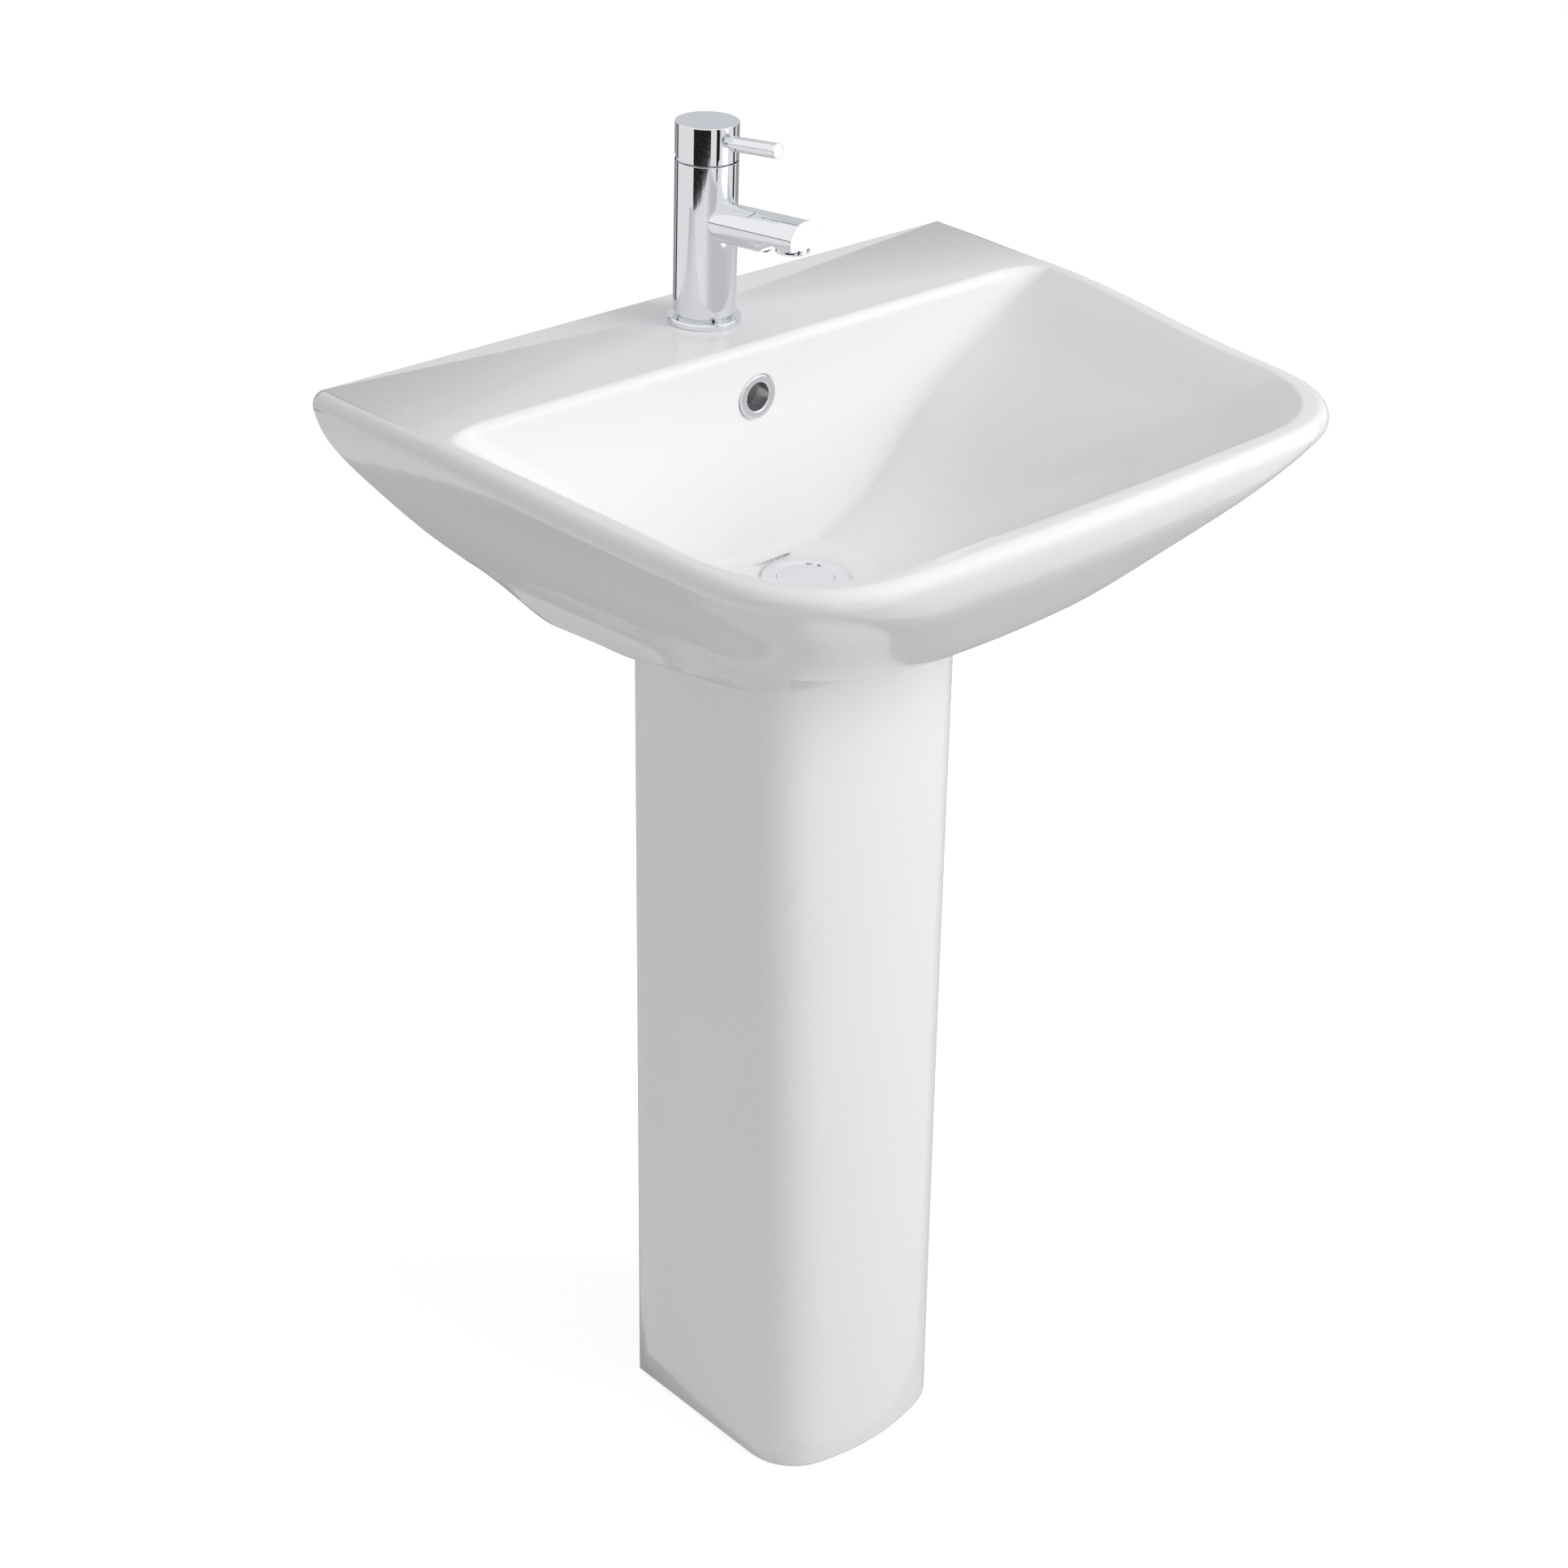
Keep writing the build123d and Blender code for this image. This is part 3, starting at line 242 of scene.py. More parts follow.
def lead_by_area(mesh):
    """Corner normals from the triangles round a point, as far as its sharp edges.

    Each is the sum of (b - a) x (c - a) over those triangles, with a large weight for triangles
    that lie level with a neighbour, so that flats stay flat. The triangles that belong together
    are found by giving each corner the smallest corner number reachable over smooth edges.
    """
    triangles = np.empty(len(mesh.loops), int)
    mesh.loops.foreach_get("vertex_index", triangles)
    edges = np.empty(len(mesh.loops), int)
    mesh.loops.foreach_get("edge_index", edges)
    sharp = np.zeros(len(mesh.edges), bool)
    mesh.edges.foreach_get("use_edge_sharp", sharp)
    points = np.empty(len(mesh.vertices) * 3)
    mesh.vertices.foreach_get("co", points)
    points = points.reshape(-1, 3)
    corners = triangles.reshape(-1, 3)
    count = len(triangles)
    ahead = (np.arange(count).reshape(-1, 3)[:, [1, 2, 0]]).reshape(-1)
    low = np.minimum(triangles, triangles[ahead])
    at_low = np.where(triangles < triangles[ahead], np.arange(count), ahead)
    at_high = np.where(triangles < triangles[ahead], ahead, np.arange(count))
    order = np.argsort(edges, kind="stable")
    paired = edges[order][:-1] == edges[order][1:]
    one, two = order[:-1][paired], order[1:][paired]
    smooth = ~sharp[edges[one]] & (low[one] == low[two])
    one, two = one[smooth], two[smooth]
    links = np.concatenate([
        np.stack([at_low[one], at_low[two]], 1),
        np.stack([at_high[one], at_high[two]], 1)])
    group = np.arange(count)
    for _ in range(64):
        least = np.minimum(group[links[:, 0]], group[links[:, 1]])
        before = group.copy()
        np.minimum.at(group, links[:, 0], least)
        np.minimum.at(group, links[:, 1], least)
        group = group[group]
        if np.array_equal(before, group):
            break
    base = points[corners[:, 0]]
    area = np.cross(points[corners[:, 1]] - base, points[corners[:, 2]] - base)
    size = np.maximum(np.linalg.norm(area, axis=1), 1e-20)
    here, there = one // 3, two // 3
    level = np.einsum("ij,ij->i", area[here], area[there]) / (size[here] * size[there]) > LEVEL_COSINE
    flat = np.zeros(count // 3, bool)
    flat[here[level]] = True
    flat[there[level]] = True
    area[flat & (size > FLAT_SIZE)] *= FLAT_WEIGHT
    total = np.zeros((count, 3))
    np.add.at(total, group, np.repeat(area, 3, axis=0))
    normals = total[group]
    normals /= np.maximum(np.linalg.norm(normals, axis=1, keepdims=True), 1e-20)
    mesh.normals_split_custom_set(normals.tolist())


def finish_piece(mesh, name, node, sharp=TURNED_SHARP):
    """Puts a mesh in the scene in place of its CAD node, on its body and slot, shaded smooth.

    Large faces lead the normals they share, so that a flat next to a rounding stays flat.
    """
    mesh.shade_smooth()
    mesh.set_sharp_from_angle(angle=radians(sharp))
    lead_by_area(mesh)
    mesh.materials.clear()
    mesh.materials.append(material_for(node))
    piece = bpy.data.objects.new(name, mesh)
    bpy.context.scene.collection.objects.link(piece)
    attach(piece, BODY_OF[node])
    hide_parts(node)
    return piece


def merged_copy(node, sharp=PACKED_SHARP):
    """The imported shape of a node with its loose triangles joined, so that it shades smooth."""
    mesh = frame["nodes"][node].data.copy()
    mesh.name = node + "_surface"
    build = bmesh.new()
    build.from_mesh(mesh)
    bmesh.ops.remove_doubles(build, verts=build.verts, dist=1e-6)
    build.to_mesh(mesh)
    build.free()
    return finish_piece(mesh, node + "_surface", node, sharp)


# ------------------------------------------------------------------ finishes
def new_group(name, inputs, outputs):
    """Empty shader node group with its sockets; returns it with its input and output nodes."""
    group = bpy.data.node_groups.new(name, "ShaderNodeTree")
    for label, kind, value in inputs:
        socket = group.interface.new_socket(name=label, in_out="INPUT", socket_type=kind)
        socket.default_value = value
    for label, kind in outputs:
        group.interface.new_socket(name=label, in_out="OUTPUT", socket_type=kind)
    return group, group.nodes.new("NodeGroupInput"), group.nodes.new("NodeGroupOutput")


def noise(group, source, vector, detail):
    """Noise texture at the group's own scale socket."""
    node = group.nodes.new("ShaderNodeTexNoise")
    node.inputs["Detail"].default_value = detail
    group.links.new(vector, node.inputs["Vector"])
    group.links.new(source, node.inputs["Scale"])
    return node.outputs["Fac"]


def spread(group, factor, low, high):
    """Value that runs from low to high, both sockets, as the factor runs from 0.3 to 0.7."""
    node = group.nodes.new("ShaderNodeMapRange")
    node.inputs["From Min"].default_value = 0.3
    node.inputs["From Max"].default_value = 0.7
    group.links.new(factor, node.inputs["Value"])
    group.links.new(low, node.inputs["To Min"])
    group.links.new(high, node.inputs["To Max"])
    return node.outputs["Result"]


def blend_colour(group, factor, first, second):
    """Mix of two colour sockets by a factor socket."""
    node = group.nodes.new("ShaderNodeMix")
    node.data_type = "RGBA"
    group.links.new(factor, node.inputs["Factor"])
    group.links.new(first, node.inputs["A"])
    group.links.new(second, node.inputs["B"])
    return node.outputs["Result"]


def variation_group():
    """Slow change of colour, roughness and height over a surface, from two sizes of noise."""
    group, source, result = new_group(
        "Surface Variation",
        [("Colour", "NodeSocketColor", (0.8, 0.8, 0.8, 1.0)),
         ("Second Colour", "NodeSocketColor", (0.7, 0.7, 0.7, 1.0)),
         ("Scale", "NodeSocketFloat", 8.0), ("Fine Scale", "NodeSocketFloat", 90.0),
         ("Roughness", "NodeSocketFloat", 0.1), ("Second Roughness", "NodeSocketFloat", 0.2)],
        [("Colour", "NodeSocketColor"), ("Roughness", "NodeSocketFloat"), ("Height", "NodeSocketFloat")])
    place = group.nodes.new("ShaderNodeTexCoord").outputs["Object"]
    slow = noise(group, source.outputs["Scale"], place, 2.0)
    fine = noise(group, source.outputs["Fine Scale"], place, 3.0)
    given = source.outputs
    colour = blend_colour(group, slow, given["Colour"], given["Second Colour"])
    group.links.new(colour, result.inputs["Colour"])
    roughness = spread(group, fine, given["Roughness"], given["Second Roughness"])
    group.links.new(roughness, result.inputs["Roughness"])
    group.links.new(slow, result.inputs["Height"])
    return group


def turning_group():
    """Fine lathe lines: bands in the height of a turned piece, broken up by noise along them."""
    group, source, result = new_group(
        "Turning Lines",
        [("Pitch Scale", "NodeSocketFloat", 900.0), ("Break Up", "NodeSocketFloat", 6.0)],
        [("Height", "NodeSocketFloat")])
    place = group.nodes.new("ShaderNodeTexCoord").outputs["Object"]
    bands = group.nodes.new("ShaderNodeTexWave")
    bands.bands_direction = "Z"
    bands.inputs["Detail"].default_value = 2.0
    group.links.new(place, bands.inputs["Vector"])
    group.links.new(source.outputs["Pitch Scale"], bands.inputs["Scale"])
    group.links.new(source.outputs["Break Up"], bands.inputs["Distortion"])
    group.links.new(bands.outputs["Fac"], result.inputs["Height"])
    return group


def grain_group():
    """Moulded grain: fine cells that give plastic and rubber their satin skin."""
    group, source, result = new_group(
        "Moulded Grain", [("Scale", "NodeSocketFloat", 1400.0)], [("Height", "NodeSocketFloat")])
    place = group.nodes.new("ShaderNodeTexCoord").outputs["Object"]
    cells = group.nodes.new("ShaderNodeTexVoronoi")
    group.links.new(place, cells.inputs["Vector"])
    group.links.new(source.outputs["Scale"], cells.inputs["Scale"])
    group.links.new(cells.outputs["Distance"], result.inputs["Height"])
    return group


def finish(name, colour, second, roughness, second_roughness, scales, bumps,
           metallic=0.0, coat=0.0, coat_rough=0.03):
    """Principled material with the shared variation.

    Each bump is (group name, values for its sockets, strength, distance).
    """
    material = bpy.data.materials.new(name)
    material.use_nodes = True
    tree = material.node_tree
    shader = tree.nodes["Principled BSDF"]
    shader.inputs["Metallic"].default_value = metallic
    shader.inputs["Coat Weight"].default_value = coat
    shader.inputs["Coat Roughness"].default_value = coat_rough
    change = tree.nodes.new("ShaderNodeGroup")
    change.node_tree = bpy.data.node_groups["Surface Variation"]
    change.inputs["Colour"].default_value = (*colour, 1.0)
    change.inputs["Second Colour"].default_value = (*second, 1.0)
    change.inputs["Scale"].default_value = scales[0]
    change.inputs["Fine Scale"].default_value = scales[1]
    change.inputs["Roughness"].default_value = roughness
    change.inputs["Second Roughness"].default_value = second_roughness
    tree.links.new(change.outputs["Colour"], shader.inputs["Base Color"])
    tree.links.new(change.outputs["Roughness"], shader.inputs["Roughness"])
    normal = None
    for group_name, values, strength, distance in bumps:
        bump = tree.nodes.new("ShaderNodeBump")
        bump.inputs["Strength"].default_value = strength
        bump.inputs["Distance"].default_value = distance
        if group_name == "Surface Variation":
            height = change.outputs["Height"]
        else:
            extra = tree.nodes.new("ShaderNodeGroup")
            extra.node_tree = bpy.data.node_groups[group_name]
            for label, value in values.items():
                extra.inputs[label].default_value = value
            height = extra.outputs["Height"]
        tree.links.new(height, bump.inputs["Height"])
        if normal is not None:
            tree.links.new(normal, bump.inputs["Normal"])
        normal = bump.outputs["Normal"]
    if normal is not None:
        tree.links.new(normal, shader.inputs["Normal"])
    return material


def tint(colour, factor):
    """A colour made lighter or darker by a factor."""
    return tuple(min(1.0, channel * factor) for channel in colour)


def glaze(name, settings):
    """White glaze: clear gloss over a slow ripple, a touch cooler where the glaze lies thick."""
    return finish(name, tuple(settings.colour), tint(settings.colour, 0.985), settings.roughness,
                  settings.roughness + 0.05, (7.0, 160.0),
                  [("Surface Variation", {}, 0.6, settings.ripple)], coat=0.5, coat_rough=0.06)


def chrome(name, settings):
    """Polished chrome plate with the faintest wipe marks."""
    return finish(name, tuple(settings.colour), tint(settings.colour, 0.97), settings.roughness,
                  settings.roughness + 0.02, (30.0, 300.0), [], metallic=1.0)


def moulded(name, colour, roughness, scale):
    """Moulded plastic or rubber with a fine grain."""
    return finish(name, colour, tint(colour, 0.93), roughness, roughness + 0.12, (25.0, 400.0),
                  [("Moulded Grain", {"Scale": scale}, 0.25, 0.0001)])


def machined(name, colour, roughness):
    """Brass or steel with lathe lines."""
    return finish(name, colour, tint(colour, 0.86), roughness, roughness + 0.12, (40.0, 500.0),
                  [("Turning Lines", {"Pitch Scale": 900.0, "Break Up": 3.0}, 0.3, 0.0001)], metallic=1.0)


def material_for(node):
    """The finish of a node's slot, made once."""
    slot = SLOT_OF[node]
    found = bpy.data.materials.get("finish_" + slot)
    if found:
        return found
    scene = bpy.context.scene
    for name, make in (("Surface Variation", variation_group), ("Turning Lines", turning_group),
                       ("Moulded Grain", grain_group)):
        if name not in bpy.data.node_groups:
            make()
    name = "finish_" + slot
    makers = {
        "basin_glaze": lambda: glaze(name, scene.basin_glaze),
        "pedestal_glaze": lambda: glaze(name, scene.basin_glaze),
        "chrome": lambda: chrome(name, scene.basin_metal),
        "plug_chrome": lambda: chrome(name, scene.basin_metal),
        "white_plastic": lambda: moulded(name, (0.80, 0.80, 0.79), 0.32, 1400.0),
        "grey_plastic": lambda: moulded(name, (0.42, 0.43, 0.44), 0.4, 1400.0),
        "black_rubber": lambda: moulded(name, (0.022, 0.022, 0.023), 0.6, 2200.0),
        "brass": lambda: machined(name, (0.62, 0.44, 0.19), 0.26),
        "disc_ceramic": lambda: finish(
            name, (0.78, 0.77, 0.72), (0.72, 0.71, 0.66), 0.3, 0.42, (60.0, 700.0), []),
        "steel": lambda: machined(name, (0.5, 0.5, 0.51), 0.24),
    }
    return makers[slot]()


# ------------------------------------------------------------------ pieces
class BASIN_OT_china(bpy.types.Operator):
    """Glazes the basin and the pedestal"""

    bl_idname = "basin.china"
    bl_label = "Glazed china"

    def execute(self, context):
        merged_copy("basin", CHINA_SHARP)
        merged_copy("pedestal", CHINA_SHARP)
        return {"FINISHED"}


class BASIN_OT_handle(bpy.types.Operator):
    """Makes the tap's handle cap and lever"""

    bl_idname = "basin.handle"
    bl_label = "Tap handle"

    def cap(self, settings):
        """Turned cap whose rear rim rises.

        z = profile height + share * max(0, y - relief start) * tan(relief), y from the cap's axis.

        The share is 1 along the rim and falls to 0 at the top of each wall.
        """
        low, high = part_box("handle_cap")
        radius, edge, wall = (high.x - low.x) / 2, settings.cap_edge, settings.cap_wall
        roof_gap, rim_break, relief_start = 0.0016, 0.0004, 0.001
        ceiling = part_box("lever_rod")[0].z - roof_gap
        inner = radius - wall
        top = high.z
        outside = np.concatenate([
            [[0.0, top], [radius * 0.5, top], [radius - edge * 3.0, top]],
            corner((radius - edge, top - edge), edge, 90.0, 0.0)])
        drop = np.linspace(0.0, 1.0, 12)[1:]
        outer_height = top - edge + drop * (low.z + rim_break - top + edge)
        outer_wall = np.stack([np.full(11, radius), outer_height], 1)
        rim = np.array([[radius - rim_break, low.z], [inner + rim_break, low.z]])
        inner_height = low.z + rim_break + drop * (ceiling - low.z - rim_break)
        inner_wall = np.stack([np.full(11, inner), inner_height], 1)
        roof = np.array([[inner * 0.5, ceiling], [0.0, ceiling]])
        profile = np.concatenate([outside, outer_wall, rim, inner_wall, roof])
        share = np.concatenate([np.zeros(len(outside)), drop, [1.0, 1.0], 1.0 - drop, [0.0, 0.0]])
        turn = np.linspace(0.0, 2.0 * np.pi, 160, endpoint=False)
        x = profile[:, None, 0] * np.cos(turn)
        y = profile[:, None, 0] * np.sin(turn)
        rise = np.maximum(0.0, y - relief_start) * tan(settings.relief)
        z = profile[:, None, 1] + share[:, None] * rise
        middle = (low.y + high.y) / 2
        mesh = shell("handle_cap_surface", np.stack([x, y + middle, z], 2), False)
        finish_piece(mesh, "handle_cap_surface", "handle_cap")

    def lever(self, settings):
        """Rod turned about its own sloping axis: a thin neck, a shoulder and a softly rounded end."""
        low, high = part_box("lever_rod")
        cap_low, cap_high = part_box("handle_cap")
        radius, edge, neck = (high.x - low.x) / 2, settings.lever_edge, settings.lever_neck
        rise = settings.lever_rise
        axis = np.array([0.0, -cos(rise), sin(rise)])
        middle = (cap_low.y + cap_high.y) / 2
        start_z = high.z - radius * cos(rise) - (middle - low.y - radius * sin(rise)) * tan(rise)
        inner = (middle - high.y) / cos(rise)
        end_margin, neck_margin, shoulder = 0.00001, 0.0006, 0.0265
        end = (middle - low.y - end_margin) / cos(rise) - radius * tan(rise)
        profile = np.concatenate([
            [[0.0, inner + neck_margin], [neck, inner + neck_margin], [neck, shoulder]],
            corner((radius - edge, shoulder + edge), edge, 270.0, 360.0),
            corner((radius - edge, end - edge), edge, 0.0, 90.0),
            [[radius * 0.5, end], [0.0, end]]])
        origin = (0.0, middle, start_z)
        mesh = turned("lever_rod_surface", profile, origin, axis, (1.0, 0.0, 0.0), False, 96)
        finish_piece(mesh, "lever_rod_surface", "lever_rod")

    def execute(self, context):
        settings = context.scene.basin_metal
        self.cap(settings)
        self.lever(settings)
        return {"FINISHED"}


class BASIN_OT_tap(bpy.types.Operator):
    """Makes the tap's body, its base ring and the aerator"""

    bl_idname = "basin.tap"
    bl_label = "Tap body"

    def base_ring(self):
        """Ring with a soft outer shoulder, closed round its own rectangular section."""
        low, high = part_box("tap_base_ring")
        radius, edge, edge_break, land = (high.x - low.x) / 2, 0.0013, 0.0003, 0.008
        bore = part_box("tap_base_gasket")[1].x - land
        profile = np.concatenate([
            [[bore, low.z], [radius - edge_break, low.z], [radius, low.z + edge_break]],
            corner((radius - edge, high.z - edge), edge, 0.0, 90.0),
            [[bore + edge_break, high.z], [bore, high.z - edge_break]]])
        origin = (0.0, (low.y + high.y) / 2, 0.0)
        mesh = turned("tap_base_ring_surface", profile, origin, (0, 0, 1), (1, 0, 0), True)
        finish_piece(mesh, "tap_base_ring_surface", "tap_base_ring")

    def inside_of_body(self, settings):
        """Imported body, drawn in by the skin's thickness where the barrel or the spout covers it."""
        piece = merged_copy("tap_body", BODY_SHARP)
        low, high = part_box("tap_body")
        radius, middle, skin = (high.x - low.x) / 2, self.axis_y(), settings.skin
        points = np.empty(len(piece.data.vertices) * 3)
        piece.data.vertices.foreach_get("co", points)
        points = points.reshape(-1, 3)
        reach = np.hypot(points[:, 0], points[:, 1] - middle)
        wall_margin = 0.0001
        wall = (reach > radius - skin) & (reach < radius + wall_margin)
        points[wall, 0] *= (radius - skin) / radius
        points[wall, 1] = middle + (points[wall, 1] - middle) * (radius - skin) / radius
        spout = points[:, 1] < middle - radius
        centre = self.spout_centre(settings, points[:, 1])
        shrink = 1.0 - 2.0 * skin / settings.spout_radius
        points[spout, 0] *= shrink
        points[spout, 2] = centre[spout] + (points[spout, 2] - centre[spout]) * shrink
        points[:, 1] = np.maximum(points[:, 1], low.y + skin)
        piece.data.vertices.foreach_set("co", points.reshape(-1))
        piece.data.update()

    def axis_y(self):
        """Y of the tap's upright axis."""
        low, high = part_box("handle_cap")
        return (low.y + high.y) / 2

    def spout_centre(self, settings, y):
        """Height of the spout's axis over a place along it."""
        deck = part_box("tap_base_ring")[0].z
        return deck + settings.spout_height + (self.axis_y() - y) * tan(settings.spout_rise)

    def barrel(self, settings):
        """Thin closed sleeve over the upright barrel, with rounded ends."""
        low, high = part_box("tap_body")
        radius, edge = (high.x - low.x) / 2, settings.barrel_edge
        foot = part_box("tap_base_ring")[1].z + settings.barrel_gap
        inner = radius - settings.barrel_wall
        profile = np.concatenate([
            corner((radius - edge, foot + edge), edge, 270.0, 360.0),
            corner((radius - edge * 0.4, high.z - edge * 0.4), edge * 0.4, 0.0, 90.0),
            [[inner, high.z], [inner, foot]]])
        mesh = turned("tap_barrel", profile, (0.0, self.axis_y(), 0.0), (0, 0, 1), (1, 0, 0), True, 160)
        finish_piece(mesh, "tap_barrel", "tap_body", PACKED_SHARP)

    def spout(self, settings):
        """Sloping round spout with an upright end face and a flat below.

        At each place y the section is an ellipse, x = r cos t, z = centre + r / cos(rise) sin t, and
        is cut off below by the flat, which runs out behind in a quarter round.
        """
        middle, radius = self.axis_y(), settings.spout_radius
        root, first, past_flat, core_rise = middle - 0.012, middle - 0.018, 0.002, 0.001
        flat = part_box("aerator_housing")
        flat_z = flat[0].z + settings.aerator_drop
        flat_start = (flat[0].y + flat[1].y) / 2 + settings.flat_behind
        end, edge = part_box("tap_body")[0].y, settings.spout_edge
        along = np.concatenate([
            [root, root], np.linspace(first, flat_start + settings.flat_round, 10),
            flat_start + settings.flat_round * np.cos(np.radians(np.linspace(8.0, 90.0, 12))),
            np.linspace(flat_start - past_flat, end + edge, 8), [end + edge * 0.3, end, end]])
        size = np.ones(len(along))
        size[0] = 0.0
        size[-3:] = [1.0 - 0.3 * edge / radius, 1.0 - edge / radius, 0.0]
        behind = np.clip(along - flat_start, 0.0, settings.flat_round)
        floor = flat_z - settings.flat_round + np.sqrt(settings.flat_round ** 2 - behind ** 2)
        floor = np.where(along > flat_start + settings.flat_round - 1e-6, -1.0, floor)
        turn = np.linspace(0.0, 2.0 * np.pi, 144, endpoint=False)
        centre = self.spout_centre(settings, along)
        x = size[:, None] * radius * np.cos(turn)
        z = centre[:, None] + radius / cos(settings.spout_rise) * np.sin(turn)
        z = np.maximum(z, floor[:, None])
        core = np.maximum(centre, floor + core_rise)
        z = core[:, None] + size[:, None] * (z - core[:, None])
        rows = np.stack([x, np.broadcast_to(along[:, None], x.shape), z], 2)
        finish_piece(shell("tap_spout", rows, False), "tap_spout", "tap_body", PACKED_SHARP)

    def execute(self, context):
        settings = context.scene.basin_metal
        self.inside_of_body(settings)
        self.barrel(settings)
        self.spout(settings)
        merged_copy("tap_shroud")
        merged_copy("aerator_housing")
        self.base_ring()
        return {"FINISHED"}


class BASIN_OT_waste(bpy.types.Operator):
    """Makes the waste's flange, its plug and the overflow ring"""

    bl_idname = "basin.waste"
    bl_label = "Waste and overflow"

    def plug(self):
        """Turned plug: a shallow crown z = top - sag * (r / R)^2, a rolled edge, a hub and a stem."""
        low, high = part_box("waste_plug")
        seal_low, seal_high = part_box("plug_seal")
        seal_depth, sag, edge, stem, stem_break = 0.0035, 0.0011, 0.0007, 0.00315, 0.0006
        radius, hub = (high.x - low.x) / 2, (seal_high.x - seal_low.x) / 2 - seal_depth
        reach = np.linspace(0.0, 1.0, 14)
        crown = np.stack([reach * (radius - edge), high.z - sag * reach ** 2], 1)
        edge_z = high.z - sag - edge
        profile = np.concatenate([
            crown, corner((radius - edge, edge_z), edge, 80.0, 0.0),
            [[radius, seal_high.z], [hub, seal_high.z], [hub, seal_low.z], [stem, seal_low.z],
             [stem, low.z + stem_break], [stem - stem_break, low.z], [0.0, low.z]]])
        origin = (0.0, (low.y + high.y) / 2, 0.0)
        mesh = turned("waste_plug_surface", profile, origin, (0, 0, 1), (1, 0, 0), False)
        finish_piece(mesh, "waste_plug_surface", "waste_plug")

    def overflow_ring(self):
        """Ring turned about Y: a half-round crown between rim and bore, and a sleeve into the hole."""
        low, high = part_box("overflow_ring")
        middle = (low.z + high.z) / 2
        radius = (high.z - low.z) / 2
        bore, sleeve, depth, crown_height, rim_break = 0.0103, 0.0119, 0.0032, 0.0015, 0.0002
        seat = low.y + depth
        turn = np.radians(np.linspace(0.0, 180.0, 16))
        half = (radius - bore) / 2
        crown = np.stack([
            bore + half + half * np.cos(turn),
            -low.y - crown_height + crown_height * np.sin(turn)], 1)
        profile = np.concatenate([
            [[sleeve, -high.y], [sleeve, -seat], [radius - rim_break, -seat], [radius, -seat + rim_break]],
            crown, [[bore, -high.y]]])
        origin = (0.0, 0.0, middle)
        mesh = turned("overflow_ring_surface", profile, origin, (0, -1, 0), (1, 0, 0), True)
        finish_piece(mesh, "overflow_ring_surface", "overflow_ring")

    def execute(self, context):
        merged_copy("waste_body")
        self.plug()
        self.overflow_ring()
        return {"FINISHED"}


class BASIN_OT_plumbing(bpy.types.Operator):
    """Finishes the nuts, washers and trap under the basin"""

    bl_idname = "basin.plumbing"
    bl_label = "Plumbing"

    def execute(self, context):
        for node in ("trap_inlet_nut", "trap_body", "trap_cup", "trap_outlet_nut", "trap_outlet_pipe",
                     "waste_back_nut", "waste_cone_washer", "fixing_stud", "fixing_nut",
                     "fixing_washer_rubber", "fixing_washer_metal"):
            merged_copy(node)
        return {"FINISHED"}


class BASIN_OT_inside(bpy.types.Operator):
    """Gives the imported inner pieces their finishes"""

    bl_idname = "basin.inside"
    bl_label = "Inner pieces"

    def execute(self, context):
        for node, item in frame["nodes"].items():
            material = material_for(node)
            item.data.materials.clear()
            item.data.materials.append(material)
        return {"FINISHED"}


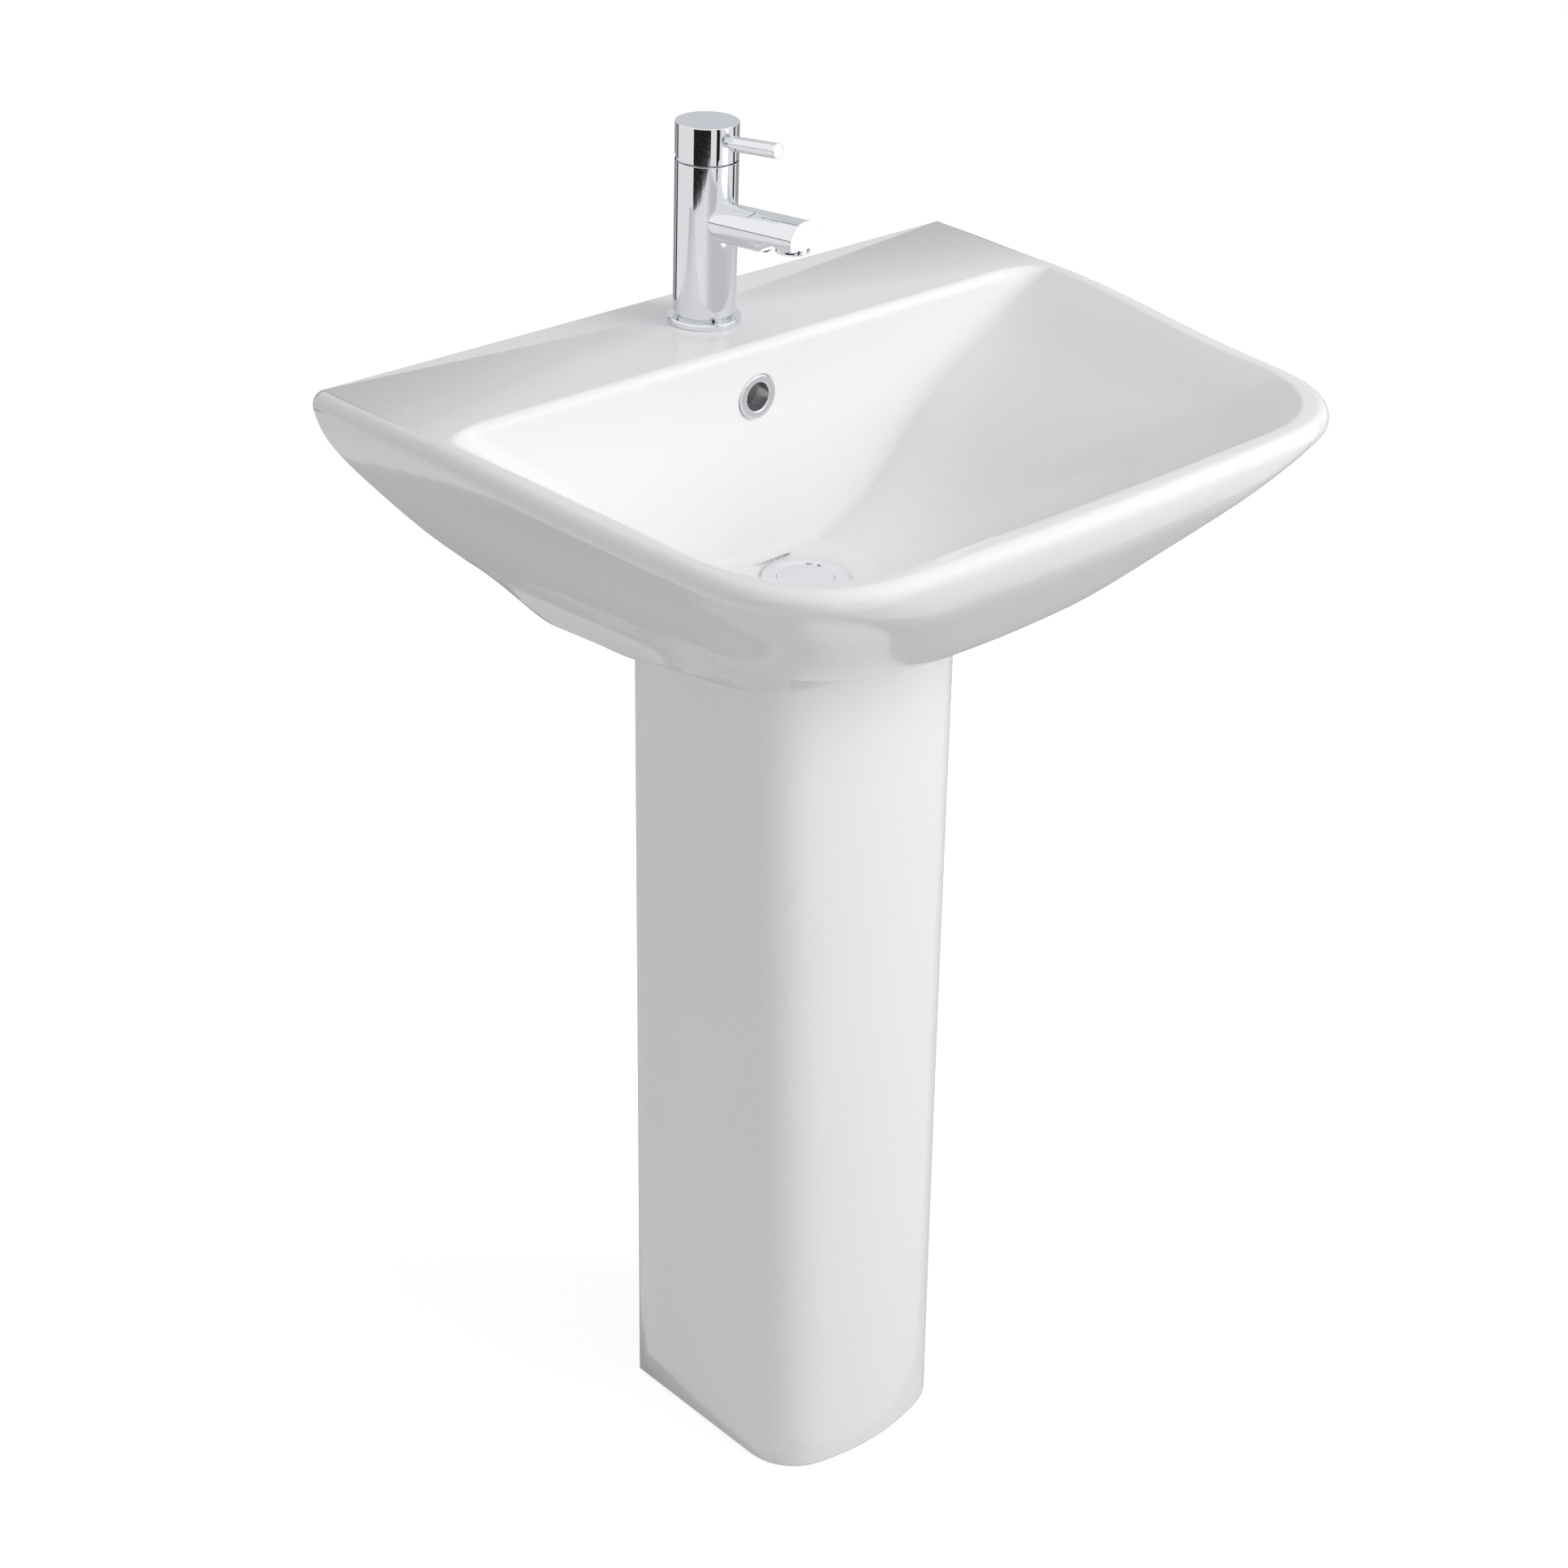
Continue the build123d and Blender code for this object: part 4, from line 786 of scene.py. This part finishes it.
# ------------------------------------------------------------------ stage
class BASIN_OT_stage(bpy.types.Operator):
    """Makes the floor, the lights, the papers and cards that are mirrored, and the camera"""

    bl_idname = "basin.stage"
    bl_label = "Stage"

    def floor(self, settings):
        """Large disc just under z = 0 with a soft pale finish."""
        reach, sides, height = 30.0, 96, -0.0002
        turn = np.linspace(0.0, 2.0 * np.pi, sides, endpoint=False)
        points = np.stack([reach * np.cos(turn), reach * np.sin(turn), np.full(sides, height)], 1)
        mesh = bpy.data.meshes.new("floor")
        mesh.from_pydata(points.tolist(), [], [list(range(sides))])
        piece = bpy.data.objects.new("floor", mesh)
        bpy.context.scene.collection.objects.link(piece)
        material = bpy.data.materials.new("floor_paper")
        material.use_nodes = True
        tree = material.node_tree
        shader = tree.nodes["Principled BSDF"]
        shader.inputs["Base Color"].default_value = (*settings.floor_colour, 1.0)
        shader.inputs["Roughness"].default_value = 0.9
        shader.inputs["Specular IOR Level"].default_value = 0.1
        shader.inputs["Emission Color"].default_value = (1.0, 1.0, 1.0, 1.0)
        path = tree.nodes.new("ShaderNodeLightPath")
        glow = tree.nodes.new("ShaderNodeMapRange")
        glow.inputs["To Max"].default_value = settings.floor_glow
        tree.links.new(path.outputs["Is Camera Ray"], glow.inputs["Value"])
        tree.links.new(glow.outputs["Result"], shader.inputs["Emission Strength"])
        mesh.materials.append(material)

    def paper(self, name, corners, shade, colour, strength):
        """Matt sheet seen only in reflections; it is never sampled as a light."""
        mesh = bpy.data.meshes.new(name)
        mesh.from_pydata([tuple(point) for point in corners], [], [tuple(range(len(corners)))])
        material = bpy.data.materials.new(name)
        material.use_nodes = True
        shader = material.node_tree.nodes["Principled BSDF"]
        shader.inputs["Base Color"].default_value = (shade, shade, shade, 1.0)
        shader.inputs["Roughness"].default_value = 1.0
        shader.inputs["Specular IOR Level"].default_value = 0.0
        shader.inputs["Emission Color"].default_value = colour
        shader.inputs["Emission Strength"].default_value = strength
        material.cycles.emission_sampling = "NONE"
        mesh.materials.append(material)
        item = bpy.data.objects.new(name, mesh)
        item.visible_camera = False
        item.visible_diffuse = False
        item.visible_shadow = False
        bpy.context.scene.collection.objects.link(item)

    def sheet(self, name, corners, strength, height=0.002):
        """Level paper low over the floor, with its corners in order round it."""
        self.paper(name, [(x, y, height) for x, y in corners], 0.0, (1.0, 1.0, 1.0, 1.0), strength)

    def light(self, name, place, aim, size, power):
        """Soft rectangular light at a place, turned to a point, and not mirrored by anything."""
        data = bpy.data.lights.new(name, "AREA")
        data.shape = "RECTANGLE"
        data.size, data.size_y = size
        data.energy = power
        item = bpy.data.objects.new(name, data)
        item.location = place
        item.rotation_euler = (Vector(aim) - Vector(place)).to_track_quat("-Z", "Y").to_euler()
        item.visible_glossy = False
        bpy.context.scene.collection.objects.link(item)

    def around_tap(self, turn, reach):
        """Place on the plan at a distance from the tap, and an angle in degrees from the camera's side.

        Place = tap + reach * (cos turn * toward the camera + sin turn * the camera's right).
        """
        settings = bpy.context.scene.basin_stage
        tap = (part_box("handle_cap")[0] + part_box("handle_cap")[1]) / 2
        toward = Vector((settings.camera_place[0] - tap.x, settings.camera_place[1] - tap.y)).normalized()
        right = Vector((-toward.y, toward.x))
        direction = cos(radians(turn)) * toward + sin(radians(turn)) * right
        return tuple(Vector((tap.x, tap.y)) + reach * direction)

    def card(self, name, place, width, height, shade, glow=0.0):
        """Upright card that faces the tap, hidden from the camera, for the chrome to mirror."""
        tap = (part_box("tap_body")[0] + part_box("tap_body")[1]) / 2
        toward = Vector((tap.x - place[0], tap.y - place[1], 0.0)).normalized()
        side = Vector((-toward.y, toward.x, 0.0)) * width / 2
        centre = Vector(place)
        up = Vector((0.0, 0.0, height / 2))
        corners = [centre - side - up, centre + side - up, centre + side + up, centre - side + up]
        self.paper(name, corners, shade, (0.93, 0.96, 1.0, 1.0), glow)

    def camera(self, settings):
        """Camera from its place, heading, dip and roll."""
        heading, dip, roll = settings.camera_heading, settings.camera_dip, settings.camera_roll
        ahead = Vector((sin(heading) * cos(dip), cos(heading) * cos(dip), -sin(dip)))
        level = Vector((cos(heading), -sin(heading), 0.0))
        down = ahead.cross(level)
        right = cos(roll) * level + sin(roll) * down
        up = sin(roll) * level - cos(roll) * down
        turn = Matrix((right, up, -ahead)).transposed().to_4x4()
        data = bpy.data.cameras.new("camera")
        data.lens = settings.lens
        data.sensor_width = 36.0
        data.clip_start, data.clip_end = 0.05, 100.0
        item = bpy.data.objects.new("camera", data)
        item.matrix_world = Matrix.Translation(Vector(settings.camera_place)) @ turn
        bpy.context.scene.collection.objects.link(item)
        bpy.context.scene.camera = item

    def surroundings(self, settings):
        """Even pale surroundings, whiter where they are seen or mirrored than in the light they give."""
        world = bpy.data.worlds.new("studio")
        bpy.context.scene.world = world
        world.use_nodes = True
        tree = world.node_tree
        ambient = tree.nodes["Background"]
        ambient.inputs["Color"].default_value = (0.975, 0.98, 1.0, 1.0)
        ambient.inputs["Strength"].default_value = settings.ambient
        seen = tree.nodes.new("ShaderNodeBackground")
        seen.inputs["Color"].default_value = (1.0, 1.0, 1.0, 1.0)
        path = tree.nodes.new("ShaderNodeLightPath")
        mix = tree.nodes.new("ShaderNodeMixShader")
        tree.links.new(path.outputs["Is Diffuse Ray"], mix.inputs[0])
        tree.links.new(seen.outputs[0], mix.inputs[1])
        tree.links.new(ambient.outputs[0], mix.inputs[2])
        tree.links.new(mix.outputs[0], tree.nodes["World Output"].inputs["Surface"])

    def execute(self, context):
        settings = context.scene.basin_stage
        context.scene.view_settings.view_transform = "Standard"
        self.surroundings(settings)
        self.floor(settings)
        middle = (0.0, 0.0, 0.75)
        self.light("key", (1.3, -2.2, 2.1), middle, (1.6, 1.8), settings.key_power)
        self.light("top", (0.2, -0.2, 3.2), middle, (2.2, 2.2), settings.key_power * 0.15)
        low_middle = (0.0, 0.0, 0.5)
        self.light("left", (-2.6, -0.6, 0.45), low_middle, (1.0, 0.75), settings.key_power * 0.12)
        end, side, front, glow = 7.0, -0.095, -0.07, settings.sheet_glow
        self.sheet("sheet_left", [(-end, -end), (side, -end), (side, end), (-end, end)], glow)
        self.sheet("sheet_front", [(side, -end), (end, -end), (end, front), (side, front)], glow)
        edge = [(14.0, 3.33), (5.0, 3.27), (-12.0, 3.16), (-30.0, 3.07), (-48.0, 3.03)]
        far = [(-48.0, 9.0), (-17.0, 9.0), (14.0, 9.0)]
        dark, above = 0.015, 0.004
        self.sheet("dark_paper", [self.around_tap(*spot) for spot in edge + far], dark, above)
        self.card("dark_card_front", (*self.around_tap(40.0, 1.98), 0.6), 0.42, 1.2, 0.02)
        self.card("dark_card_right", (*self.around_tap(112.0, 1.6), 0.6), 0.3, 1.2, 0.03)
        self.card("dark_card_left", (*self.around_tap(-128.0, 1.6), 0.6), 0.3, 1.2, 0.03)
        self.card("pale_card_back", (*self.around_tap(180.0, 2.2), 1.95), 9.0, 2.0, 0.0, 0.7)
        self.card("white_card_ends", (0.078, -0.004, 0.9625), 0.075, 0.155, 0.0, 1.35)
        self.camera(settings)
        return {"FINISHED"}


class BASIN_PT_panel(bpy.types.Panel):
    """Lists the pieces of the wash basin"""

    bl_label = "Wash Basin"
    bl_idname = "BASIN_PT_panel"
    bl_space_type = "VIEW_3D"
    bl_region_type = "UI"
    bl_category = "Wash Basin"

    def draw(self, context):
        for operator in OPERATORS:
            self.layout.operator(operator.bl_idname)
        for group in ("basin_glaze", "basin_metal", "basin_stage"):
            settings = getattr(context.scene, group)
            for name in settings.bl_rna.properties.keys():
                if name not in {"rna_type", "name"}:
                    self.layout.prop(settings, name)


SETTINGS = {"basin_glaze": GlazeSettings, "basin_metal": MetalSettings, "basin_stage": StageSettings}
OPERATORS = (BASIN_OT_inside, BASIN_OT_china, BASIN_OT_tap, BASIN_OT_handle, BASIN_OT_waste,
             BASIN_OT_plumbing, BASIN_OT_stage)


def register():
    """Registers the settings, operators and panel."""
    for name, group in SETTINGS.items():
        bpy.utils.register_class(group)
        setattr(bpy.types.Scene, name, PointerProperty(type=group))
    for item in (*OPERATORS, BASIN_PT_panel):
        bpy.utils.register_class(item)


def unregister():
    """Takes away what register added."""
    for item in reversed((*OPERATORS, BASIN_PT_panel)):
        bpy.utils.unregister_class(item)
    for name, group in SETTINGS.items():
        delattr(bpy.types.Scene, name)
        bpy.utils.unregister_class(group)


def main():
    """Makes every piece and the stage."""
    register()
    bpy.ops.basin.inside()
    bpy.ops.basin.china()
    bpy.ops.basin.tap()
    bpy.ops.basin.handle()
    bpy.ops.basin.waste()
    bpy.ops.basin.plumbing()
    bpy.ops.basin.stage()


if __name__ == "__main__":
    main()
